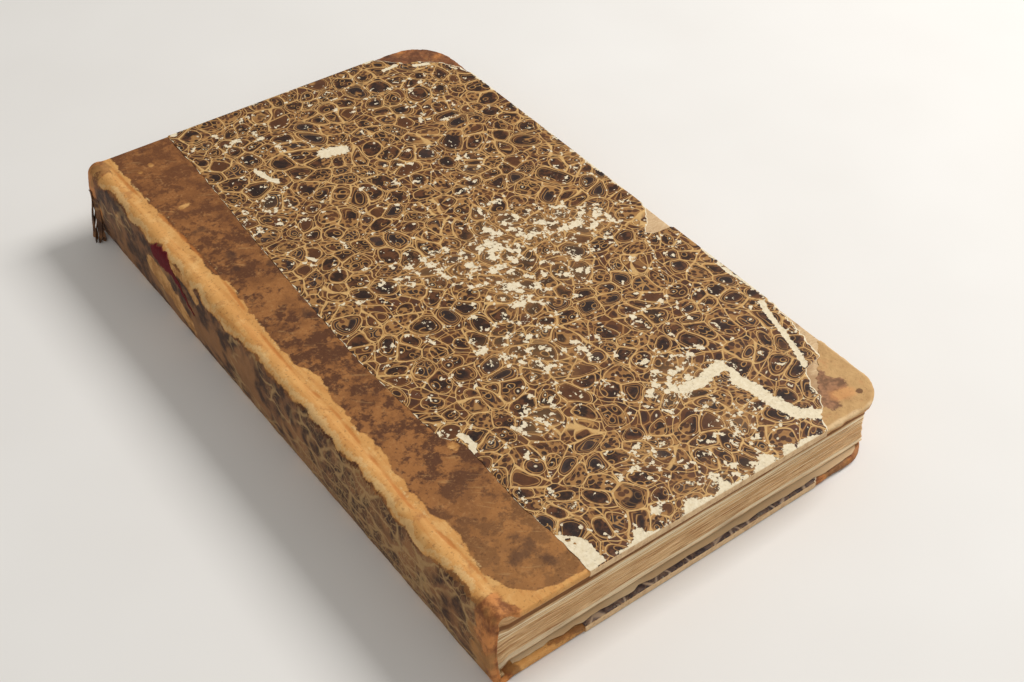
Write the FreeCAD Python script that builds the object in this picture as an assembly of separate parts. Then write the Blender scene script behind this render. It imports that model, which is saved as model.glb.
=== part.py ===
import FreeCAD, Part
import math
import os

# An antique octavo in half leather, lying shut on its back board with the front board up.
# Leather covers the spine and the corners, marbled paper the rest of both boards.
# Millimetres. +X runs from the spine to the fore edge, +Y from tail to head, +Z up.
# The origin is on the resting plane, under the middle of the closed book.

os.makedirs("parts", exist_ok=True)

V = FreeCAD.Vector
UP = V(0, 0, 1)
FORE = V(1, 0, 0)
HEAD = V(0, 1, 0)

# The closed book.
book_width = 129.0
thickness_at_joint = 26.1
thickness_at_fore_edge = 23.5

# The boards: pasteboard, squared by the binder and rounded by wear.
board_height = 216.6
board_thickness = 2.3
square = 2.6
cover_slip = 1.2
tail_corner_radius = 10.0
head_corner_radius = 15.0
board_arris = 0.35

# The joints, where the covers hinge.
joint_from_spine = 6.7
joint_gap = 0.3
hinge_clearance = 0.1
board_from_joint = 1.1
joint_leather_width = 1.9

# The rounded and backed spine.
spine_round = 1.6
shoulder_radius = 3.4
ridge_height = 0.2
groove_radius = 1.6
leather_thickness = 0.7
lining_thickness = 0.5
cap_turn_in = 11.0

# The text block.
page_gap = 0.3
fore_edge_hollow = 1.6

# The recessed cords, and their frayed slips on the boards.
cord_count = 4
cord_spacing = 47.0
cord_diameter = 1.5
cord_play = 0.1
slip_length = 13.0
slip_root = 2.4
slip_spread = 8.0
slip_thickness = 0.15

# The endbands.
endband_diameter = 1.8

# Skins on the boards: leather pared thin, and paper lapping over its edges.
pared_leather = 0.4
side_leather_width = 21.8
leather_edge_bow = 4.8
corner_leather_leg = 27.0
paper_thickness = 0.2
paper_lap = 3.0
turn_in = 11.0
pastedown_thickness = 0.15
pastedown_margin = 2.8
tail_wear = 2.2
tail_wear_start = 66.0

# Where the front paper is torn away along the fore edge, measured from the joint and the tail.
bite_tail = 87.0
bite_length = 15.5
bite_depth = 8.6
tear_length = 60.0
tear_depth = 17.0

# The title label, torn down to a remnant.
label_thickness = 0.2
label_top = 62.0
label_length = 27.0
label_height = 8.5
label_centre_height = 18.2

# Worked out from the sizes above.
fore_x = book_width / 2
spine_x = -book_width / 2 + label_thickness
hinge_x = -book_width / 2 + joint_from_spine
cover_reach = book_width - joint_from_spine
wedge = math.asin((thickness_at_joint - thickness_at_fore_edge) / cover_reach)
page_height = board_height - 2 * square - cover_slip
half_pages = page_height / 2
back_tail_y = -half_pages - square
front_tail_y = back_tail_y - cover_slip
spine_tail_y = -half_pages - square
spine_head_y = half_pages + square
section_height = thickness_at_joint + ridge_height
mid_height = section_height / 2
cover_build = board_thickness + 2 * paper_thickness + pastedown_thickness
block_edge_drop = cover_build + page_gap
LARGE = 2 * (book_width + board_height)


def box(low, high):
    """A box between two corners."""
    low, high = V(*low), V(*high)
    size = high - low
    return Part.makeBox(size.x, size.y, size.z, low)


def prism(points, direction, along):
    """A closed outline of points carried along a direction by a length."""
    loop = Part.makePolygon([V(*p) for p in points] + [V(*points[0])])
    return Part.Face(loop).extrude(direction * along)


def smooth_edge(points):
    """A smooth curve through points."""
    curve = Part.BSplineCurve()
    curve.interpolate([V(*p) for p in points])
    return curve.toShape()


def sheet_region(edge_points, far_points):
    """Everything above and below a flat outline: one smooth side through points, the rest straight."""
    straight = [V(*edge_points[-1])] + [V(*p) for p in far_points] + [V(*edge_points[0])]
    edges = [smooth_edge(edge_points)]
    edges += [Part.makeLine(a, b) for a, b in zip(straight, straight[1:])]
    face = Part.Face(Part.Wire(edges))
    face.translate(UP * -LARGE / 4)
    return face.extrude(UP * LARGE / 2)


def write(name, shape):
    """One solid, or a group of separate solids, to its own file."""
    shape = shape.removeSplitter()
    shape.exportStep("parts/" + name + ".step")
    solids = shape.Solids
    print(name, len(solids), "solids", round(sum(s.Volume for s in solids), 1), "mm3", shape.isValid())


# The spine's section, drawn once and inset for each layer.

back_radius = (mid_height ** 2 + spine_round ** 2) / (2 * spine_round)
back_centre_x = spine_x + back_radius
shoulder_z = section_height - shoulder_radius
shoulder_rise = shoulder_z - mid_height
shoulder_x = back_centre_x - math.sqrt((back_radius - shoulder_radius) ** 2 - shoulder_rise ** 2)
shoulder_angle = math.atan2(shoulder_rise, shoulder_x - back_centre_x)
cut_x = hinge_x - joint_gap / 2
groove_angle = math.asin((cut_x - shoulder_x) / (shoulder_radius + groove_radius))
groove_z = shoulder_z + (shoulder_radius + groove_radius) * math.cos(groove_angle)
groove_depth = section_height - (groove_z - groove_radius)


def polar(x, z, radius, angle, y=0.0):
    """The point at an angle from +X about a centre, in the section's plane."""
    return V(x + radius * math.cos(angle), y, z + radius * math.sin(angle))


def back_path(inset, y=0.0, groove=True):
    """Half the back's section, from the joint to the middle of the spine, inset from the leather's face.

    A short hollow arc into the joint, a round arc over the ridge, and the wide arc of the spine.
    """
    turn = math.pi / 2 - groove_angle
    r_groove = groove_radius + inset
    r_ridge = shoulder_radius - inset
    r_back = back_radius - inset
    edges = []
    if groove:
        low = polar(cut_x, groove_z, r_groove, -math.pi / 2, y)
        mid = polar(cut_x, groove_z, r_groove, -math.pi / 2 - groove_angle / 2, y)
        high = polar(cut_x, groove_z, r_groove, -math.pi / 2 - groove_angle, y)
        edges.append(Part.Arc(low, mid, high).toShape())
    start = polar(shoulder_x, shoulder_z, r_ridge, turn, y)
    crest = polar(shoulder_x, shoulder_z, r_ridge, (turn + shoulder_angle) / 2, y)
    end = polar(shoulder_x, shoulder_z, r_ridge, shoulder_angle, y)
    edges.append(Part.Arc(start, crest, end).toShape())
    halfway = polar(back_centre_x, mid_height, r_back, (shoulder_angle + math.pi) / 2, y)
    middle = polar(back_centre_x, mid_height, r_back, math.pi, y)
    edges.append(Part.Arc(end, halfway, middle).toShape())
    return edges


def mirrored(shape):
    """The same shape below the book's middle height."""
    return shape.mirror(V(0, 0, mid_height), UP)


def half_layer(near, far, low_y, high_y, groove=True):
    """The upper half of one layer of the back, between two insets, from one height on the page to another."""
    outer = back_path(near, low_y, groove)
    inner = back_path(far, low_y, groove)
    first = Part.makeLine(inner[0].Vertexes[0].Point, outer[0].Vertexes[0].Point)
    last = Part.makeLine(outer[-1].Vertexes[-1].Point, inner[-1].Vertexes[-1].Point)
    wire = Part.Wire(Part.__sortEdges__([first] + outer + [last] + inner))
    return Part.Face(wire).extrude(HEAD * (high_y - low_y))


def back_layer(near, far, low_y, high_y, groove=True):
    """A whole layer of the back, folded round the spine from joint to joint, or from ridge to ridge."""
    half = half_layer(near, far, low_y, high_y, groove)
    return half.fuse(mirrored(half))


# The pages: one solid, rounded and backed at the spine, hollow at the fore edge.

pages_inset = leather_thickness + lining_thickness
page_floor = block_edge_drop
page_fore_x = fore_x - square
page_joint_x = hinge_x + board_from_joint - page_gap


def page_top(x):
    """The height of the top page under the sloping front board."""
    return thickness_at_joint - block_edge_drop / math.cos(wedge) - (x - hinge_x) * math.tan(wedge)


def text_block():
    """The sewn pages with their endpapers."""
    low_y = -half_pages
    upper = back_path(pages_inset, low_y, groove=False)
    crest_end = upper[0].Vertexes[0].Point
    lower = [mirrored(edge) for edge in upper]
    floor_end = mirrored(upper[0]).Vertexes[0].Point
    joint_top = V(page_joint_x, low_y, page_top(page_joint_x))
    joint_floor = V(page_joint_x, low_y, page_floor)
    fore_top = V(page_fore_x, low_y, page_top(page_fore_x))
    fore_floor = V(page_fore_x, low_y, page_floor)
    fore_mid = V(page_fore_x - fore_edge_hollow, low_y, (fore_top.z + page_floor) / 2)
    edges = upper + lower
    edges.append(Part.makeLine(crest_end, joint_top))
    edges.append(Part.makeLine(joint_top, fore_top))
    edges.append(Part.Arc(fore_top, fore_mid, fore_floor).toShape())
    edges.append(Part.makeLine(fore_floor, joint_floor))
    edges.append(Part.makeLine(joint_floor, floor_end))
    wire = Part.Wire(Part.__sortEdges__(edges))
    return Part.Face(wire).extrude(HEAD * page_height)


def cord_stations():
    """The heights of the cords, evenly spaced about the middle of the pages."""
    first = -cord_spacing * (cord_count - 1) / 2
    return [first + i * cord_spacing for i in range(cord_count)]


kerf_depth = cord_diameter + 2 * cord_play
cord_sides = 8


def kerf(y):
    """The saw cut across the back of the pages that holds one cord."""
    half_width = cord_diameter / 2 + cord_play
    return back_layer(pages_inset, pages_inset + kerf_depth, y - half_width, y + half_width, groove=False)


def cord_along_back(upper, diameter):
    """A cord with flattened sides, carried along half the back's section and its mirror image."""
    path = Part.Wire(Part.__sortEdges__(upper + [mirrored(edge) for edge in upper]))
    start = path.OrderedVertexes[0].Point
    heading = path.OrderedEdges[0].tangentAt(path.OrderedEdges[0].FirstParameter)
    side = heading.cross(HEAD)
    reach = diameter / 2
    turns = [2 * math.pi * (i + 0.5) / cord_sides for i in range(cord_sides)]
    corners = [start + side * reach * math.cos(a) + HEAD * reach * math.sin(a) for a in turns]
    ring = Part.makePolygon(corners + [corners[0]])
    return path.makePipeShell([ring], True, False)


def cord(y):
    """One sewing cord, lying in its saw cut from ridge to ridge."""
    return cord_along_back(back_path(pages_inset + kerf_depth / 2, y, groove=False), cord_diameter)


def endband(end_y, outward):
    """A corded endband on the end of the pages, following the back."""
    radius = endband_diameter / 2
    upper = back_path(pages_inset + radius, end_y + outward * radius, groove=False)[1:]
    return cord_along_back(upper, endband_diameter)


def spine_leather():
    """The leather from joint to joint, turned in at both caps."""
    skin = back_layer(0.0, leather_thickness, spine_tail_y, spine_head_y)
    fold = leather_thickness + lining_thickness
    tail_turn = back_layer(leather_thickness, fold, spine_tail_y, spine_tail_y + cap_turn_in)
    head_turn = back_layer(leather_thickness, fold, spine_head_y - cap_turn_in, spine_head_y)
    return skin.fuse([tail_turn, head_turn])


def spine_lining():
    """The paper and linen lining glued to the back, between the two turn-ins."""
    low_y = spine_tail_y + cap_turn_in
    high_y = spine_head_y - cap_turn_in
    return back_layer(leather_thickness, pages_inset, low_y, high_y)


def label_remnant():
    """What is left of the title label: a torn scrap on the round of the spine, with a tail."""
    half = half_layer(-label_thickness, 0.0, label_top - label_length, label_top)
    x = spine_x - LARGE / 8
    low_z = label_centre_height - label_height / 2
    high_z = label_centre_height + label_height / 2
    end_y = label_top - label_length
    torn = [
        (x, label_top, high_z - 1.2),
        (x, label_top - 0.35 * label_length, high_z),
        (x, label_top - 0.45 * label_length, high_z - 0.45 * label_height),
        (x, label_top - 0.8 * label_length, low_z + 0.35 * label_height),
        (x, end_y, low_z + 0.2 * label_height),
        (x, end_y + 0.15 * label_length, low_z),
        (x, label_top - 0.4 * label_length, low_z + 0.15 * label_height),
        (x, label_top - 0.1 * label_length, low_z + 0.4 * label_height),
    ]
    return half.common(prism(torn, FORE, LARGE / 4))


# One cover, built flat as the back cover lies: outer face down on z = 0, joint at x = 0, tail at y = 0.
# The board's outer face is at z = paper_thickness, and x grows towards the fore edge.

face_z = paper_thickness
inside_z = face_z + board_thickness
middle_z = (face_z + inside_z) / 2
sheet_top = inside_z + paper_thickness


def plate(grow, low_z, high_z, arris=0.0):
    """The board's outline grown evenly, between two heights, with its fore corners rounded."""
    left = board_from_joint - grow
    right = cover_reach - paper_thickness + grow
    tail = paper_thickness - grow
    head = board_height - paper_thickness + grow
    r_tail = tail_corner_radius - paper_thickness + grow
    r_head = head_corner_radius - paper_thickness + grow
    bend = math.sqrt(0.5)
    tail_arc = [
        V(right - r_tail, tail, low_z),
        V(right - r_tail + r_tail * bend, tail + r_tail - r_tail * bend, low_z),
        V(right, tail + r_tail, low_z),
    ]
    head_arc = [
        V(right, head - r_head, low_z),
        V(right - r_head + r_head * bend, head - r_head + r_head * bend, low_z),
        V(right - r_head, head, low_z),
    ]
    edges = [
        Part.makeLine(V(left, tail, low_z), tail_arc[0]),
        Part.Arc(*tail_arc).toShape(),
        Part.makeLine(tail_arc[2], head_arc[0]),
        Part.Arc(*head_arc).toShape(),
        Part.makeLine(head_arc[2], V(left, head, low_z)),
        Part.makeLine(V(left, head, low_z), V(left, tail, low_z)),
    ]
    solid = Part.Face(Part.Wire(edges)).extrude(UP * (high_z - low_z))
    if arris > 0:
        rims = [e for e in solid.Edges if e.BoundBox.ZLength < 1e-6 and e.BoundBox.XMax > left + 1e-6]
        solid = solid.makeChamfer(arris, rims)
    return solid


def full_board():
    """Board and pared leather together, before they are told apart."""
    return plate(0.0, face_z, inside_z, board_arris)


def leather_shell():
    """The layer of the full board that leather takes up: both faces and the three outer edges."""
    inner = plate(-pared_leather, face_z + pared_leather, inside_z - pared_leather)
    to_joint = box(
        (-LARGE / 4, paper_thickness + pared_leather, face_z + pared_leather),
        (cover_reach / 2, board_height - paper_thickness - pared_leather, inside_z - pared_leather),
    )
    return full_board().cut(inner.fuse(to_joint))


def paper_shell():
    """The paper's layer over the full board."""
    arris = board_arris + paper_thickness * (2 - math.sqrt(2))
    grown = plate(paper_thickness, 0.0, sheet_top, arris)
    past_joint = box((-LARGE / 4, -1.0, -1.0), (board_from_joint, board_height + 1.0, sheet_top + 1.0))
    return grown.cut([full_board(), past_joint])


def skin_reach():
    """Where a skin may lie: all of the outer face, and the turn-ins' depth round the inner one."""
    whole = plate(1.0, -1.0, sheet_top + 1.0)
    inner = box(
        (-LARGE / 4, turn_in, middle_z),
        (cover_reach - turn_in, board_height - turn_in, sheet_top + 2.0),
    )
    return whole.cut(inner)


def side_region(width):
    """The strip along the joint under the side leather. Its edge bows towards the joint at mid-height."""
    run = LARGE / 8
    edge = [
        (width, -run, 0),
        (width, 0.0, 0),
        (width - 0.15 * leather_edge_bow, 0.15 * board_height, 0),
        (width - leather_edge_bow, 0.45 * board_height, 0),
        (width - 0.6 * leather_edge_bow, 0.7 * board_height, 0),
        (width, board_height, 0),
        (width, board_height + run, 0),
    ]
    return sheet_region(edge, [(-run, board_height + run, 0), (-run, -run, 0)])


def corner_region(leg, at_head):
    """The triangle at a fore corner that its leather corner covers."""
    y_edge = board_height if at_head else 0.0
    inward = -1 if at_head else 1
    out = LARGE / 16
    points = [
        (cover_reach - leg - out, y_edge - inward * out, -LARGE / 4),
        (cover_reach + out, y_edge + inward * (leg + out), -LARGE / 4),
        (cover_reach + out, y_edge - inward * out, -LARGE / 4),
    ]
    return prism(points, UP, LARGE / 2)


def joint_section(low, deep):
    """The leather's path from the cut in the joint up on to the board, as a curve in the section."""
    start = joint_gap / 2
    bend = (start + joint_leather_width) / 2
    curve = Part.BezierCurve()
    curve.setPoles([
        V(start, 0, deep + low),
        V(bend, 0, deep + low),
        V(bend, 0, face_z + low),
        V(joint_leather_width, 0, face_z + low),
    ])
    return curve.toShape()


def joint_leather(deep):
    """The strip of leather that dips from the board into the joint's groove."""
    outer = joint_section(0.0, deep)
    inner = joint_section(pared_leather, deep)
    wire = Part.Wire(Part.__sortEdges__([
        outer,
        inner,
        Part.makeLine(outer.Vertexes[0].Point, inner.Vertexes[0].Point),
        Part.makeLine(outer.Vertexes[-1].Point, inner.Vertexes[-1].Point),
    ]))
    strip = Part.Face(wire).extrude(HEAD * (board_height - 2 * paper_thickness))
    strip.translate(HEAD * paper_thickness)
    return strip


def joint_trim(deep):
    """What the joint's leather takes off the board's spine edge, down past the outer face."""
    inner = joint_section(pared_leather, deep)
    start = inner.Vertexes[0].Point
    end = inner.Vertexes[-1].Point
    wire = Part.Wire(Part.__sortEdges__([
        inner,
        Part.makeLine(start, V(start.x, 0, -1)),
        Part.makeLine(V(start.x, 0, -1), V(end.x, 0, -1)),
        Part.makeLine(V(end.x, 0, -1), end),
    ]))
    return Part.Face(wire).extrude(HEAD * board_height)


def side_leather(deep):
    """The leather on one board: from the joint over the outer face, turned in at head and tail."""
    on_board = leather_shell().common(skin_reach()).common(side_region(side_leather_width + paper_lap))
    past_joint = box((-1.0, -1.0, -1.0), (joint_leather_width, board_height + 1.0, inside_z + 1.0))
    return on_board.cut(past_joint).fuse(joint_leather(deep))


def leather_corner(at_head):
    """One leather corner, turned in over both edges."""
    return leather_shell().common(skin_reach()).common(corner_region(corner_leather_leg, at_head))


def slip(y):
    """One cord's frayed end, fanned out and pasted down under the leather."""
    near = joint_leather_width + cord_play
    z = face_z + pared_leather
    points = [
        (near, y - slip_root / 2, z),
        (near + slip_length, y - slip_spread / 2, z),
        (near + slip_length + slip_root / 2, y, z),
        (near + slip_length, y + slip_spread / 2, z),
        (near, y + slip_root / 2, z),
    ]
    return prism(points, UP, slip_thickness)


def worn_tail():
    """The line that the paper is worn back to along the tail, from part of the way to the fore edge."""
    run = cover_reach - tail_wear_start
    edge = [
        (tail_wear_start, -0.5, 0),
        (tail_wear_start + 0.08 * run, 0.5 * tail_wear, 0),
        (tail_wear_start + 0.3 * run, 0.9 * tail_wear, 0),
        (tail_wear_start + 0.55 * run, 0.7 * tail_wear, 0),
        (cover_reach + 1, tail_wear, 0),
    ]
    region = sheet_region(edge, [(cover_reach + 1, -1, 0), (tail_wear_start, -1, 0)])
    return region.common(box((0.0, -2.0, -1.0), (cover_reach + 2.0, board_height, inside_z)))


def fore_edge_tear():
    """The tear beside the tail corner: paper gone from the fore edge inwards to a ragged line."""
    x = cover_reach
    points = [
        (x + 1, tear_length, -1),
        (x - 0.3, tear_length, -1),
        (x - 0.04 * tear_depth, 0.74 * tear_length, -1),
        (x - 0.2 * tear_depth, 0.6 * tear_length, -1),
        (x - 0.26 * tear_depth, 0.52 * tear_length, -1),
        (x - 0.37 * tear_depth, 0.41 * tear_length, -1),
        (x - 0.7 * tear_depth, 0.33 * tear_length, -1),
        (x - 0.88 * tear_depth, 0.24 * tear_length, -1),
        (x - 0.94 * tear_depth, 0.16 * tear_length, -1),
        (x - 1.3 * tear_depth, 0.05 * tear_length, -1),
        (x - 1.35 * tear_depth, -1, -1),
        (x + 1, -1, -1),
    ]
    return prism(points, UP, inside_z + 1)


def fore_edge_bite():
    """The bite out of the paper half way up the fore edge."""
    x = cover_reach
    points = [
        (x + 1, bite_tail + bite_length, -1),
        (x - 0.02 * bite_depth, bite_tail + bite_length, -1),
        (x - 0.12 * bite_depth, bite_tail + 0.75 * bite_length, -1),
        (x - 0.5 * bite_depth, bite_tail + 0.42 * bite_length, -1),
        (x - bite_depth, bite_tail + 0.16 * bite_length, -1),
        (x - 0.82 * bite_depth, bite_tail, -1),
        (x - 0.28 * bite_depth, bite_tail + 0.1 * bite_length, -1),
        (x + 1, bite_tail - 0.05 * bite_length, -1),
    ]
    return prism(points, UP, inside_z + 1)


def marbled_paper(losses):
    """The paper side: lapped over the leather, turned in on three edges, less what is worn or torn off."""
    visible_leg = corner_leather_leg - paper_lap * math.sqrt(2)
    bare = [side_region(side_leather_width)]
    bare += [corner_region(visible_leg, at_head) for at_head in (False, True)]
    return paper_shell().common(skin_reach()).cut(bare + losses)


def pastedown():
    """The endpaper half pasted inside the board, over its infill and the turn-ins."""
    low_z = inside_z
    high_z = sheet_top + pastedown_thickness
    leaf = box(
        (board_from_joint, pastedown_margin + paper_thickness, low_z),
        (cover_reach - pastedown_margin, board_height - pastedown_margin - paper_thickness, high_z),
    )
    under_lap = box(
        (board_from_joint - 1, 0, low_z),
        (cover_reach, board_height, sheet_top),
    ).cut(box(
        (board_from_joint, turn_in, low_z),
        (cover_reach - turn_in, board_height - turn_in, sheet_top),
    ))
    return leaf.cut(under_lap)


def place_back(shape):
    """The back cover lies flat on what the book rests on."""
    placed = shape.copy()
    placed.translate(V(hinge_x, back_tail_y, 0))
    return placed


def place_front(shape):
    """The front cover is turned over on top, and slopes down to the thinner fore edge."""
    placed = shape.mirror(V(0, 0, 0), UP)
    placed.translate(V(hinge_x, front_tail_y, thickness_at_joint))
    placed.rotate(V(hinge_x, 0, thickness_at_joint), HEAD, math.degrees(wedge))
    return placed


def make_cover(side, deep, tail_y, losses, place):
    """All the pieces of one cover, told apart and set in their place."""
    leather = side_leather(deep)
    corners = {"tail": leather_corner(False), "head": leather_corner(True)}
    slips = Part.makeCompound([slip(y - tail_y) for y in cord_stations()])
    skins = [leather, corners["tail"], corners["head"], slips, joint_trim(deep)]
    write(side + "_board", place(full_board().cut(skins)))
    write(side + "_leather", place(leather))
    write(side + "_marbled_paper", place(marbled_paper(losses)))
    for end, corner in corners.items():
        write(side + "_" + end + "_corner", place(corner))
    write(side + "_pastedown", place(pastedown()))
    write(side + "_cord_slips", place(slips))


print("spine radius", round(back_radius, 2), "groove depth", round(groove_depth, 3))
print("front cover slope", round(math.degrees(wedge), 3), "degrees")
print("hinge x", round(hinge_x, 3), "front hinge z", round(section_height + hinge_clearance, 3))
print("back hinge z", -hinge_clearance)

kerfs = [kerf(y) for y in cord_stations()]
write("text_block", text_block().cut(kerfs))
write("sewing_cords", Part.makeCompound([cord(y) for y in cord_stations()]))
write("spine_lining", spine_lining())
write("head_endband", endband(half_pages, 1))
write("tail_endband", endband(-half_pages, -1))
write("spine_leather", spine_leather())
write("spine_label", label_remnant())

make_cover("back", groove_depth, back_tail_y, [worn_tail()], place_back)
front_losses = [worn_tail(), fore_edge_tear(), fore_edge_bite()]
make_cover("front", groove_depth - ridge_height, front_tail_y, front_losses, place_front)
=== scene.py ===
"""The looks of an antique half-leather octavo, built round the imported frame.

Lengths in the shape functions are millimetres in the part's frame: x from spine to fore edge, y from
tail to head, z up. On a cover, u runs from the joint to the fore edge, v from tail to head, and depth
goes from the outer face inwards. They become metres when a mesh is made.
"""

import math

import bpy
import numpy as np
from mathutils import Matrix, Vector


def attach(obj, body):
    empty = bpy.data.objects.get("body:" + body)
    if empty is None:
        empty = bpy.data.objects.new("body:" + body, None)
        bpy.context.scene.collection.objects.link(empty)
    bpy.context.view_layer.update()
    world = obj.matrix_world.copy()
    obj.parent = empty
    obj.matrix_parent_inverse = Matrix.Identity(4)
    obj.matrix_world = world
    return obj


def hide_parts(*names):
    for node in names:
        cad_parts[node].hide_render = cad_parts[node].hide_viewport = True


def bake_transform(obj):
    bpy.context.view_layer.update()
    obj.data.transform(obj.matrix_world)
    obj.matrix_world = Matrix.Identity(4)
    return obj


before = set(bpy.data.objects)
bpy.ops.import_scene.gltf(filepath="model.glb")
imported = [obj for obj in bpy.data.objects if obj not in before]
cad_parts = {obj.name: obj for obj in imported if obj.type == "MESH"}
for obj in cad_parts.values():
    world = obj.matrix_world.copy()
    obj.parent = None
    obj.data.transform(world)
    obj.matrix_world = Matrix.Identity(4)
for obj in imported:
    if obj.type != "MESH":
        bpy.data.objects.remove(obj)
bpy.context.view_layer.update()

MM = 0.001

# The closed book, as the part's source has it.
BOOK_WIDTH = 129.0
JOINT_THICKNESS = 26.1
FORE_THICKNESS = 23.5
LABEL_THICKNESS = 0.2
SPINE_X = -BOOK_WIDTH / 2 + LABEL_THICKNESS
HINGE_X = -57.8
COVER_REACH = 122.3
WEDGE = math.asin((JOINT_THICKNESS - FORE_THICKNESS) / COVER_REACH)
BOARD_HEIGHT = 216.6
SECTION_HEIGHT = 26.3
MID_HEIGHT = SECTION_HEIGHT / 2
HALF_PAGES = 105.1
SQUARE = 2.6
SPINE_END = HALF_PAGES + SQUARE
TAIL_Y = {"front": -108.9, "back": -107.7}
PAGE_INSET = 3.15
PAGE_FORE_X = 61.9
PAGE_JOINT_X = -57.0
FORE_EDGE_HOLLOW = 1.6
PAGES_UNDER_LEATHER = 1.2
TURN_IN = 11.0
JOINT_GAP = 0.3
BOARD_START = 1.1
BOARD_SHRINK = 0.45
CORNER_LEG = 27.0
CORNER_RADIUS = {"tail": 10.0, "head": 15.0}
LEAF_MARGIN = 3.1
LEAF_END = COVER_REACH - 3.0
CORD_HEIGHTS = (-70.5, -23.5, 23.5, 70.5)

# The section of the back: a wide arc, a ridge at each joint, a shallow hollow into the joint.
SPINE_ROUND = 1.6
BACK_RADIUS = (MID_HEIGHT**2 + SPINE_ROUND**2) / (2 * SPINE_ROUND)
RIDGE_RADIUS = 3.4
HOLLOW_RADIUS = 1.6
BACK_X = SPINE_X + BACK_RADIUS
RIDGE_Z = SECTION_HEIGHT - RIDGE_RADIUS
RIDGE_X = BACK_X - math.sqrt((BACK_RADIUS - RIDGE_RADIUS) ** 2 - (RIDGE_Z - MID_HEIGHT) ** 2)
RIDGE_TURN = math.atan2(RIDGE_Z - MID_HEIGHT, RIDGE_X - BACK_X)
CUT_X = HINGE_X - JOINT_GAP / 2
HOLLOW_TURN = math.asin((CUT_X - RIDGE_X) / (RIDGE_RADIUS + HOLLOW_RADIUS))
HOLLOW_Z = RIDGE_Z + (RIDGE_RADIUS + HOLLOW_RADIUS) * math.cos(HOLLOW_TURN)
HOLLOW_LENGTH = HOLLOW_RADIUS * HOLLOW_TURN
RIDGE_START = math.pi / 2 - HOLLOW_TURN
RIDGE_LENGTH = RIDGE_RADIUS * (RIDGE_TURN - RIDGE_START)
BACK_LENGTH = BACK_RADIUS * (math.pi - RIDGE_TURN)
HALF_BACK = HOLLOW_LENGTH + RIDGE_LENGTH + BACK_LENGTH
HOLLOW_DEPTH = {"front": 0.225, "back": 0.425}

# Skins on the boards, as depths under the paper's face.
LEATHER_DEPTH = 0.2
INNER_FACE = 2.5
PAPER_BACK = 2.7
PASTEDOWN_FACE = 2.85
LEATHER_THICKNESS = 0.3

# How far the leather runs on under the marbled paper.
LEATHER_LAP = 2.6


def soft_step(x, low, high):
    """0 below low, 1 above high, and the cubic 3t^2 - 2t^3 between them."""
    t = np.clip((x - low) / (high - low), 0, 1)
    return t * t * (3 - 2 * t)


def swell(x, centre, width):
    """A bell: e to the minus square of the distance from the centre in widths."""
    return np.exp(-(((x - centre) / width) ** 2))


def drift(seed, length, *axes, waves=9):
    """A smooth random field near -1 to 1: sines of about one wavelength in random directions, summed."""
    rng = np.random.default_rng(seed)
    total = 0.0
    for _ in range(waves):
        heading = rng.normal(size=len(axes))
        heading *= 2 * math.pi / (length * rng.uniform(0.6, 1.6) * np.linalg.norm(heading))
        total = total + np.sin(sum(k * a for k, a in zip(heading, axes)) + rng.uniform(0, 6.28))
    return total / math.sqrt(waves)


def rough(seed, length, *axes, octaves=3):
    """Drift over drift, each half as long and half as strong as the last."""
    return sum(drift(seed + i, length / 2**i, *axes) / 2**i for i in range(octaves))


def through(x, *knots):
    """The value at x on a line through knots given as (position, value), straight between them."""
    places, values = zip(*sorted(knots))
    return np.interp(x, places, values)


def stroke(u, v, width, *knots):
    """A soft mark along a run of points: e to the minus square of the distance to it in widths."""
    nearest = np.full(np.broadcast(u, v).shape, 1e6)
    for (u1, v1), (u2, v2) in zip(knots, knots[1:]):
        along = ((u - u1) * (u2 - u1) + (v - v1) * (v2 - v1)) / ((u2 - u1) ** 2 + (v2 - v1) ** 2)
        along = np.clip(along, 0, 1)
        nearest = np.minimum(nearest, np.hypot(u - u1 - along * (u2 - u1), v - v1 - along * (v2 - v1)))
    return np.exp(-((nearest / width) ** 2))


def strokes(u, v, *marks):
    """Several strokes, each given as (strength, width, point, point, ...)."""
    return sum(strength * stroke(u, v, width, *run) for strength, width, *run in marks)


def spots(u, v, *places):
    """Round soft marks, each given as (u, v, width)."""
    return sum(np.exp(-((u - cu) ** 2 + (v - cv) ** 2) / width**2) for cu, cv, width in places)


# Places on the book.


def back_section(s):
    """The back's outer section at the distance s from the joint, s running from minus half the back to 0.

    Returns x, z and the inward normal. Each stretch is an arc: centre plus radius times (cos, sin) of an
    angle that grows with the distance along it.
    """
    hollow = -math.pi / 2 + s / HOLLOW_RADIUS
    ridge = RIDGE_START - (s + HOLLOW_LENGTH) / RIDGE_RADIUS
    wide = RIDGE_TURN - (s + HOLLOW_LENGTH + RIDGE_LENGTH) / BACK_RADIUS
    on_hollow = s > -HOLLOW_LENGTH
    on_ridge = s > -HOLLOW_LENGTH - RIDGE_LENGTH
    angle = np.where(on_hollow, hollow, np.where(on_ridge, ridge, wide))
    radius = np.where(on_hollow, HOLLOW_RADIUS, np.where(on_ridge, RIDGE_RADIUS, BACK_RADIUS))
    cx = np.where(on_hollow, CUT_X, np.where(on_ridge, RIDGE_X, BACK_X))
    cz = np.where(on_hollow, HOLLOW_Z, np.where(on_ridge, RIDGE_Z, MID_HEIGHT))
    inward = np.where(on_hollow, 1.0, -1.0)
    x = cx + radius * np.cos(angle)
    z = cz + radius * np.sin(angle)
    return x, z, inward * np.cos(angle), inward * np.sin(angle)


def on_cover(side, u, depth):
    """x and z of a point of a cover. The front one is turned over and slopes by the wedge."""
    if side == "back":
        return HINGE_X + u, depth + 0 * u
    x = HINGE_X + u * math.cos(WEDGE) - depth * math.sin(WEDGE)
    z = JOINT_THICKNESS - u * math.sin(WEDGE) - depth * math.cos(WEDGE)
    return x, z


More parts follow.
